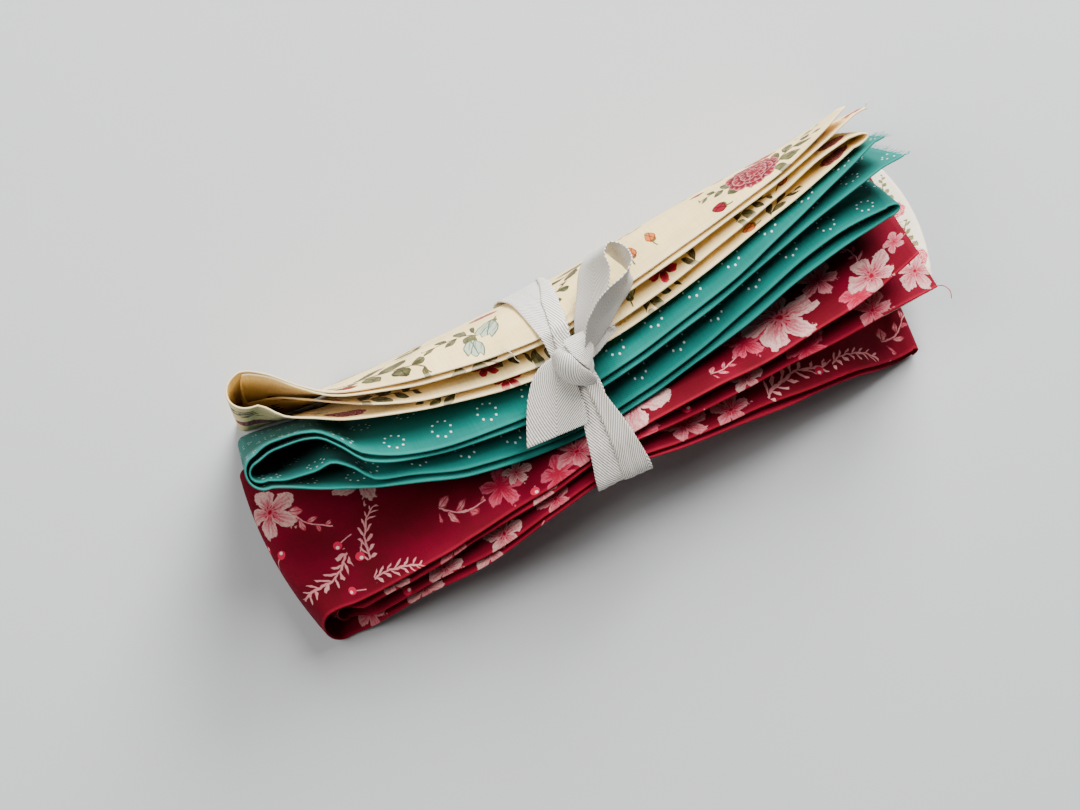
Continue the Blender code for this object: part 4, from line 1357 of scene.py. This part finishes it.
def red_print(strip):
    dry = noise(strip, 1500.0, 1.0).rising(0.30, 0.52) * 0.35 + 0.65
    ground = mixed(noise(strip, 60.0).rising(0.35, 0.65), ink(98, 0, 22), ink(116, 0, 32))
    place, at = leaf_place(strip, 0.40, 0.16)
    under = use(bloom_group, place, Petals=5.0, Ragged=0.32)
    dusky = mixed(under["Pale"].rising(0.3, 0.8), ink(176, 24, 58), ink(208, 84, 108))
    colour = paint(ground, at("dusky"), (dusky, under["Cover"], dry),
                   (ink(140, 4, 34), under["Lines"] * under["Cover"], 0.3))
    stem = ink(222, 142, 148)
    colour = leafy(
        colour, place, at, stem,
        Leaf("spray", (0.26, 0.62, 0.056, 0.74, 0.30), ink(244, 206, 200), ink(216, 112, 126),
             ink(226, 150, 152)),
        Leaf("sprig", (0.66, 0.72, 0.15, 0.80, -0.32), ink(226, 146, 152), ink(196, 74, 96), ink(150, 8, 36)))
    place, at = flower_place(strip, 0.42, 0.16)
    bloom = use(bloom_group, place, Petals=5.0, Ragged=0.34)
    for kind, low, high, line in (
            ("bloom", ink(188, 84, 100), ink(216, 170, 165), ink(176, 44, 68)),
            ("pink", ink(186, 56, 82), ink(208, 130, 136), ink(150, 10, 42))):
        petal = mixed(bloom["Pale"].rising(0.25, 0.75), low, high)
        colour = paint(colour, at(kind), (petal, bloom["Cover"], dry),
                       (line, bloom["Lines"] * bloom["Cover"], 0.28), (ink(150, 2, 34), bloom["Heart"]))
    berry = use(berry_group, place)
    return paint(colour, at("berry"), (stem, berry["Stem"]), (ink(214, 40, 76), berry["Cover"]),
                 (ink(250, 226, 220), berry["Shine"]))


def teal_print(strip):
    return mixed(use(ring_group, strip)["Dots"], ink(8, 110, 102), ink(230, 242, 234))


def white_print(strip):
    place, at = leaf_place(strip)
    stem = ink(118, 112, 70)
    colour = leafy(
        ink(240, 228, 206), place, at, stem,
        Leaf("vine", (0.50, 0.66, 0.17, 0.85, 0.30), ink(160, 162, 112), ink(108, 108, 62), ink(88, 84, 46)),
        Leaf("sprig", (0.62, 0.60, 0.15, 0.75, -0.35), ink(152, 158, 118), ink(112, 110, 66),
             ink(88, 84, 46)))
    place, at = flower_place(strip)
    rose = use(rose_group, place)
    colour = paint(colour, at("rose"), (ink(196, 62, 82), rose["Cover"]),
                   (ink(244, 206, 196), rose["Light"], 0.8))
    bud = use(bud_group, place)
    return paint(colour, at("bud"), (stem, bud["Green"]), (ink(190, 52, 72), bud["Cover"]))


def cotton_finish(cotton):
    """A printed cotton's material, with its weave and uneven dye, and its upper fold painted lighter, partly
    for wear and partly as a painted highlight.
    """
    material, tree, shader = new_material(cotton.name, cotton.roughness, cotton.sheen)
    strip = uv_place(tree, "strip")
    woven = use(weave_group, strip, Thread=THREAD)
    fold = (cotton.height - COTTON / 2 + math.pi * COTTON / 4) * MM
    wear_and_highlight_mask = use(fold_wear_and_highlight_group, strip, Fold=fold)["Rubbed"]
    shade = mixed(woven["Tone"].rising(0.25, 0.75), (0.74, 0.74, 0.74, 1.0), (1.16, 1.16, 1.16, 1.0))
    toned = made(tree, "ShaderNodeMix", 2, {0: 1.0, 6: cotton.draw(strip), 7: shade}, data_type="RGBA",
                 blend_type="MULTIPLY")
    # Along the upper fold the colour turns towards a lighter ink: partly the cloth's wear, partly a painted
    # highlight where the rim catches the light.
    feed(shader.inputs["Base Color"], mixed(wear_and_highlight_mask * cotton.wear, toned, cotton.rubbed_ink))
    raise_surface(shader, woven["Height"], 0.0001, 0.6)
    return material


def tape_finish():
    material, tree, shader = new_material("herringbone_tape", 0.72, 0.15)
    ribs = use(herringbone_group, uv_place(tree, "strip"))
    # The tape's colour is darker where its ribs are low: painted shade in the grooves between the ribs,
    # besides the fibres' random tone.
    tone = ribs["Tone"].rising(0.12, 0.60)
    feed(shader.inputs["Base Color"], mixed(tone, ink(150, 140, 124), ink(255, 252, 246)))
    raise_surface(shader, ribs["Height"], 0.0003, 0.7)
    return material


def thread_finish(name, colour):
    material, tree, shader = new_material(name, 0.8, 0.2)
    tone = noise(object_place(tree), 900.0).rising(0.3, 0.7)
    dark = tuple(0.72 * value for value in colour[:3]) + (1.0,)
    feed(shader.inputs["Base Color"], mixed(tone, dark, colour))
    return material


def table_top():
    material, tree, shader = new_material("table_top", 0.55, 0.0)
    tone = noise(object_place(tree), 6.0)
    feed(shader.inputs["Base Color"], mixed(tone, ink(188, 192, 196), ink(196, 199, 202)))
    return material


# Loose threads

LOOSE_RADIUS = 0.17
LOOSE = {
    "cloth_cream": [
        [(-6.8, 12.8, 61.9), (-6.4, 10.8, 62.6), (-5.2, 9.0, 62.0), (-4.9, 7.4, 60.2), (-4.0, 6.4, 57.8)],
        [(14.9, 11.4, 61.2), (17.2, 12.6, 61.6), (19.8, 14.4, 60.8), (22.8, 15.0, 59.6)],
        [(133.4, 27.6, 63.8), (134.2, 28.8, 64.6), (135.8, 29.4, 64.4)],
    ],
    "cloth_teal": [[(137.1, 8.9, 60.4), (138.2, 8.4, 61.3), (139.6, 8.9, 61.0)]],
    "cloth_red": [[(131.8, -31.4, 38.6), (133.6, -32.6, 39.6), (134.9, -35.0, 38.8), (134.4, -37.4, 37.6)]],
}
THREAD_INPUTS = {"Edge": "Geometry", "Threads": "Int", "Length": "Float", "Thickness": "Float",
                 "Heading": "Float", "Spread": "Float", "Seed": "Int", "Finish": "Material"}


def thread_nodes():
    """A tree that sets short bent threads along an edge, pointing along X before they are turned."""
    tree = bpy.data.node_groups.new("frayed threads", "GeometryNodeTree")
    for name, kind in THREAD_INPUTS.items():
        tree.interface.new_socket(name=name, in_out="INPUT", socket_type="NodeSocket" + kind)
    tree.interface.new_socket(name="Threads", in_out="OUTPUT", socket_type="NodeSocketGeometry")
    given = tree.nodes.new("NodeGroupInput").outputs
    edge, threads, length, thickness, heading, spread, seed, finish = (
        Field(tree, given[name]) for name in THREAD_INPUTS)
    line = made(tree, "GeometryNodeMeshToCurve", "Curve", {"Mesh": edge})
    spaced = made(tree, "GeometryNodeResampleCurve", "Curve", {"Curve": line, "Count": threads})
    bend = {"Resolution": 6, "Start": (0.0, 0.0, 0.0), "Middle": (0.5, 0.12, 0.0), "End": (1.0, 0.0, 0.1)}
    thread = made(tree, "GeometryNodeCurveQuadraticBezier", "Curve", bend)
    low = made(tree, "ShaderNodeCombineXYZ", 0, {"X": -3.1, "Y": -spread, "Z": heading - spread})
    high = made(tree, "ShaderNodeCombineXYZ", 0, {"X": 3.1, "Y": spread, "Z": heading + spread})
    turn = made(tree, "FunctionNodeRandomValue", 0, {0: low, 1: high, "Seed": seed}, data_type="FLOAT_VECTOR")
    size = made(tree, "FunctionNodeRandomValue", 1, {2: length * 0.3, 3: length, "Seed": seed},
                data_type="FLOAT")
    placed = made(tree, "GeometryNodeInstanceOnPoints", "Instances",
                  {"Points": spaced, "Instance": thread, "Rotation": turn, "Scale": size})
    real = made(tree, "GeometryNodeRealizeInstances", "Geometry", {"Geometry": placed})
    wire = made(tree, "GeometryNodeCurvePrimitiveCircle", "Curve", {"Resolution": 4, "Radius": thickness})
    tube = made(tree, "GeometryNodeCurveToMesh", "Mesh", {"Curve": real, "Profile Curve": wire})
    finished = made(tree, "GeometryNodeSetMaterial", "Geometry", {"Geometry": tube, "Material": finish})
    feed(tree.nodes.new("NodeGroupOutput").inputs["Threads"], finished)
    return tree


def frayed_edge(name, tree, line, material, **wanted):
    """Threads along a line of points, made a plain mesh."""
    mesh = bpy.data.meshes.new(name)
    places = [tuple(p) for p in (np.asarray(line) + TO_FRAME) * MM]
    mesh.from_pydata(places, [(i, i + 1) for i in range(len(places) - 1)], [])
    item = linked(name, mesh)
    threads = item.modifiers.new("threads", "NODES")
    threads.node_group = tree
    wanted["Finish"] = material
    for socket in tree.interface.items_tree:
        if socket.in_out == "INPUT" and socket.name in wanted:
            threads[socket.identifier] = wanted[socket.name]
    return settled(item)


def loose_thread(name, points, material):
    """A single thread that has worked loose, through its points."""
    data = bpy.data.curves.new(name, "CURVE")
    data.dimensions = "3D"
    data.bevel_depth = LOOSE_RADIUS * MM
    data.bevel_resolution = 1
    data.use_fill_caps = True
    data.materials.append(material)
    places = (resampled(points, 4) + TO_FRAME) * MM
    spline = data.splines.new("POLY")
    spline.points.add(len(places) - 1)
    for point, place in zip(spline.points, places):
        point.co = (*place, 1.0)
    curve = linked(name, data)
    graph = bpy.context.evaluated_depsgraph_get()
    mesh = bpy.data.meshes.new_from_object(curve.evaluated_get(graph), depsgraph=graph)
    bpy.data.objects.remove(curve)
    bpy.data.curves.remove(data)
    return linked(name, mesh)


def joined(name, items):
    """Several objects made one."""
    with bpy.context.temp_override(active_object=items[0], selected_editable_objects=items,
                                   selected_objects=items):
        bpy.ops.object.join()
    items[0].name = name
    items[0].data.name = name
    return items[0]


# Making

def ride_and_replace(item, node):
    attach(item, "root")
    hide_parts(node)


# A cotton: its colour, strip and height, and its material's name, roughness, sheen and print, and the lighter
# ink of its upper fold and how much of it shows there, partly worn edges and partly a painted highlight.
Cotton = namedtuple("Cotton", "colour stations height name roughness sheen draw rubbed_ink wear")


def make_cottons():
    sheets = {}
    # The last two values of each cotton are the lighter ink of its upper fold and how far it shows: partly
    # wear, partly a painted highlight.
    cottons = table(
        Cotton,
        ("cream", folded_strip(CREAM), CREAM.height, "cream_floral_cotton", 0.86, 0.06, cream_print,
         ink(252, 238, 206), 0.4),
        ("teal", folded_strip(TEAL), TEAL.height, "teal_dotted_cotton", 0.84, 0.04, teal_print,
         ink(52, 148, 138), 0.32),
        ("red", folded_strip(RED), RED.height, "red_floral_cotton", 0.84, 0.0, red_print,
         ink(190, 30, 58), 0.35),
        ("white", white_strip(), WHITE_HEIGHT, "white_floral_cotton", 0.86, 0.06, white_print,
         ink(250, 244, 230), 0.35))
    for cotton in cottons:
        node = "cloth_" + cotton.colour
        item, length = cotton_sheet(cotton.colour + "_folds", node, cotton.stations, cotton.height,
                                    cotton_finish(cotton))
        ride_and_replace(item, node)
        sheets[node] = (item, cotton.stations, length, cotton.height)
    return sheets


def make_tape(strips, material):
    pieces = [
        wrap_piece(strips, material),
        free_band("tie_bow_loop", LOOP, LOOP_PROFILE, material),
        free_band("tie_stub", STUB, STUB_PROFILE, material, columns=11),
        tail_piece(strips, material),
        wound_band("tie_knot_over", KNOT_OVER, material),
        wound_band("tie_knot_flat", KNOT_FLAT, material),
    ]
    for item, _ in pieces:
        settled(item)
    core = knot_core(material)
    for item in [piece for piece, _ in pieces] + [core]:
        ride_and_replace(item, "tape_tie")
    return pieces, core


# How a raw end is frayed: its colour, how many threads an edge has, and how long they are.
Fray = namedtuple("Fray", "colour ink threads length")
FRAYS = [
    Fray("cream", ink(246, 234, 208), 70, 0.0022),
    Fray("teal", ink(70, 170, 160), 80, 0.0030),
    Fray("red", ink(206, 70, 84), 50, 0.0016),
]


def make_frays(sheets):
    tree = thread_nodes()
    for fray in FRAYS:
        name, node = fray.colour + "_frays", "cloth_" + fray.colour
        finish = thread_finish(fray.colour + "_thread", fray.ink)
        stations = sheets[node][1]
        edges = []
        for number, s in enumerate((stations[0], stations[-1])):
            line = [s.base * (1 - v) + s.rim * v for v in np.linspace(0.02, 1.0, 12)]
            edges.append(frayed_edge(
                "%s_%d" % (name, number), tree, line, finish, Threads=fray.threads, Length=fray.length,
                Thickness=0.00006, Heading=0.0, Spread=0.35, Seed=number + 3))
        edges.extend(loose_thread("%s_loose_%d" % (name, number), points, finish)
                     for number, points in enumerate(LOOSE[node]))
        ride_and_replace(joined(name, edges), node)
    finish = thread_finish("tape_thread", ink(238, 234, 226))
    end = STUB[-1]
    line = [np.array([end.x1, end.y1, end.z1]) * (1 - v) + np.array([end.x2, end.y2, end.z2]) * v
            for v in np.linspace(0.0, 1.0, 8)]
    stub = frayed_edge("tape_frays", tree, line, finish, Threads=46, Length=0.0032, Thickness=0.00007,
                       Heading=-0.1, Spread=0.5, Seed=11)
    ride_and_replace(stub, "tape_tie")


def make_stage():
    bpy.ops.mesh.primitive_plane_add(size=FLOOR_SIZE, location=(0.0, 0.0, 0.0))
    floor = bpy.context.active_object
    floor.name = "table"
    floor.data.materials.append(table_top())


def aimed(item, place, target):
    """Puts a light or camera at its place, turned towards its target."""
    item.location = place
    item.rotation_euler = (Vector(target) - Vector(place)).to_track_quat("-Z", "Y").to_euler()
    return item


# A round lamp: its place, what it is aimed at, its size and power, and its colour.
Lamp = namedtuple("Lamp", "name place target size power colour")
LAMPS = [
    Lamp("window_high", (0.72, 0.62, 1.16), (0.0, 0.0, 0.0), 0.90, 34.0, (1.0, 0.99, 0.97)),
    Lamp("window_low", (0.90, 1.02, 0.72), (0.0, 0.0, 0.0), 0.80, 42.0, (1.0, 0.985, 0.965)),
    Lamp("room", (-0.56, 0.24, 0.96), (-0.08, 0.0, 0.0), 0.60, 8.0, (1.0, 0.97, 0.94)),
]
ROOM_COLOUR = (1.0, 0.95, 0.90, 1.0)
ROOM_STRENGTH = 0.11
CAMERA_PLACE = (-0.07600, -0.10749, 0.68937)
CAMERA_TARGET = (-0.01961, 0.00019, 0.0)
CAMERA_LENS = 67.2
CAMERA_SENSOR = 36.0


def make_light():
    world = bpy.data.worlds.new("soft room light")
    world.use_nodes = True
    background = world.node_tree.nodes["Background"]
    background.inputs["Color"].default_value = ROOM_COLOUR
    background.inputs["Strength"].default_value = ROOM_STRENGTH
    bpy.context.scene.world = world
    for lamp in LAMPS:
        data = bpy.data.lights.new(lamp.name, "AREA")
        data.shape = "DISK"
        data.size = lamp.size
        data.energy = lamp.power
        data.color = lamp.colour
        aimed(linked(lamp.name, data), lamp.place, lamp.target)


def make_camera():
    data = bpy.data.cameras.new("camera")
    data.lens = CAMERA_LENS
    data.sensor_width = CAMERA_SENSOR
    bpy.context.scene.camera = aimed(linked("camera", data), CAMERA_PLACE, CAMERA_TARGET)


make_camera()
cottons = make_cottons()
bands, core = make_tape([cottons[cloth.name][1] for cloth in (CREAM, TEAL, RED)], tape_finish())
make_frays(cottons)
make_stage()
make_light()
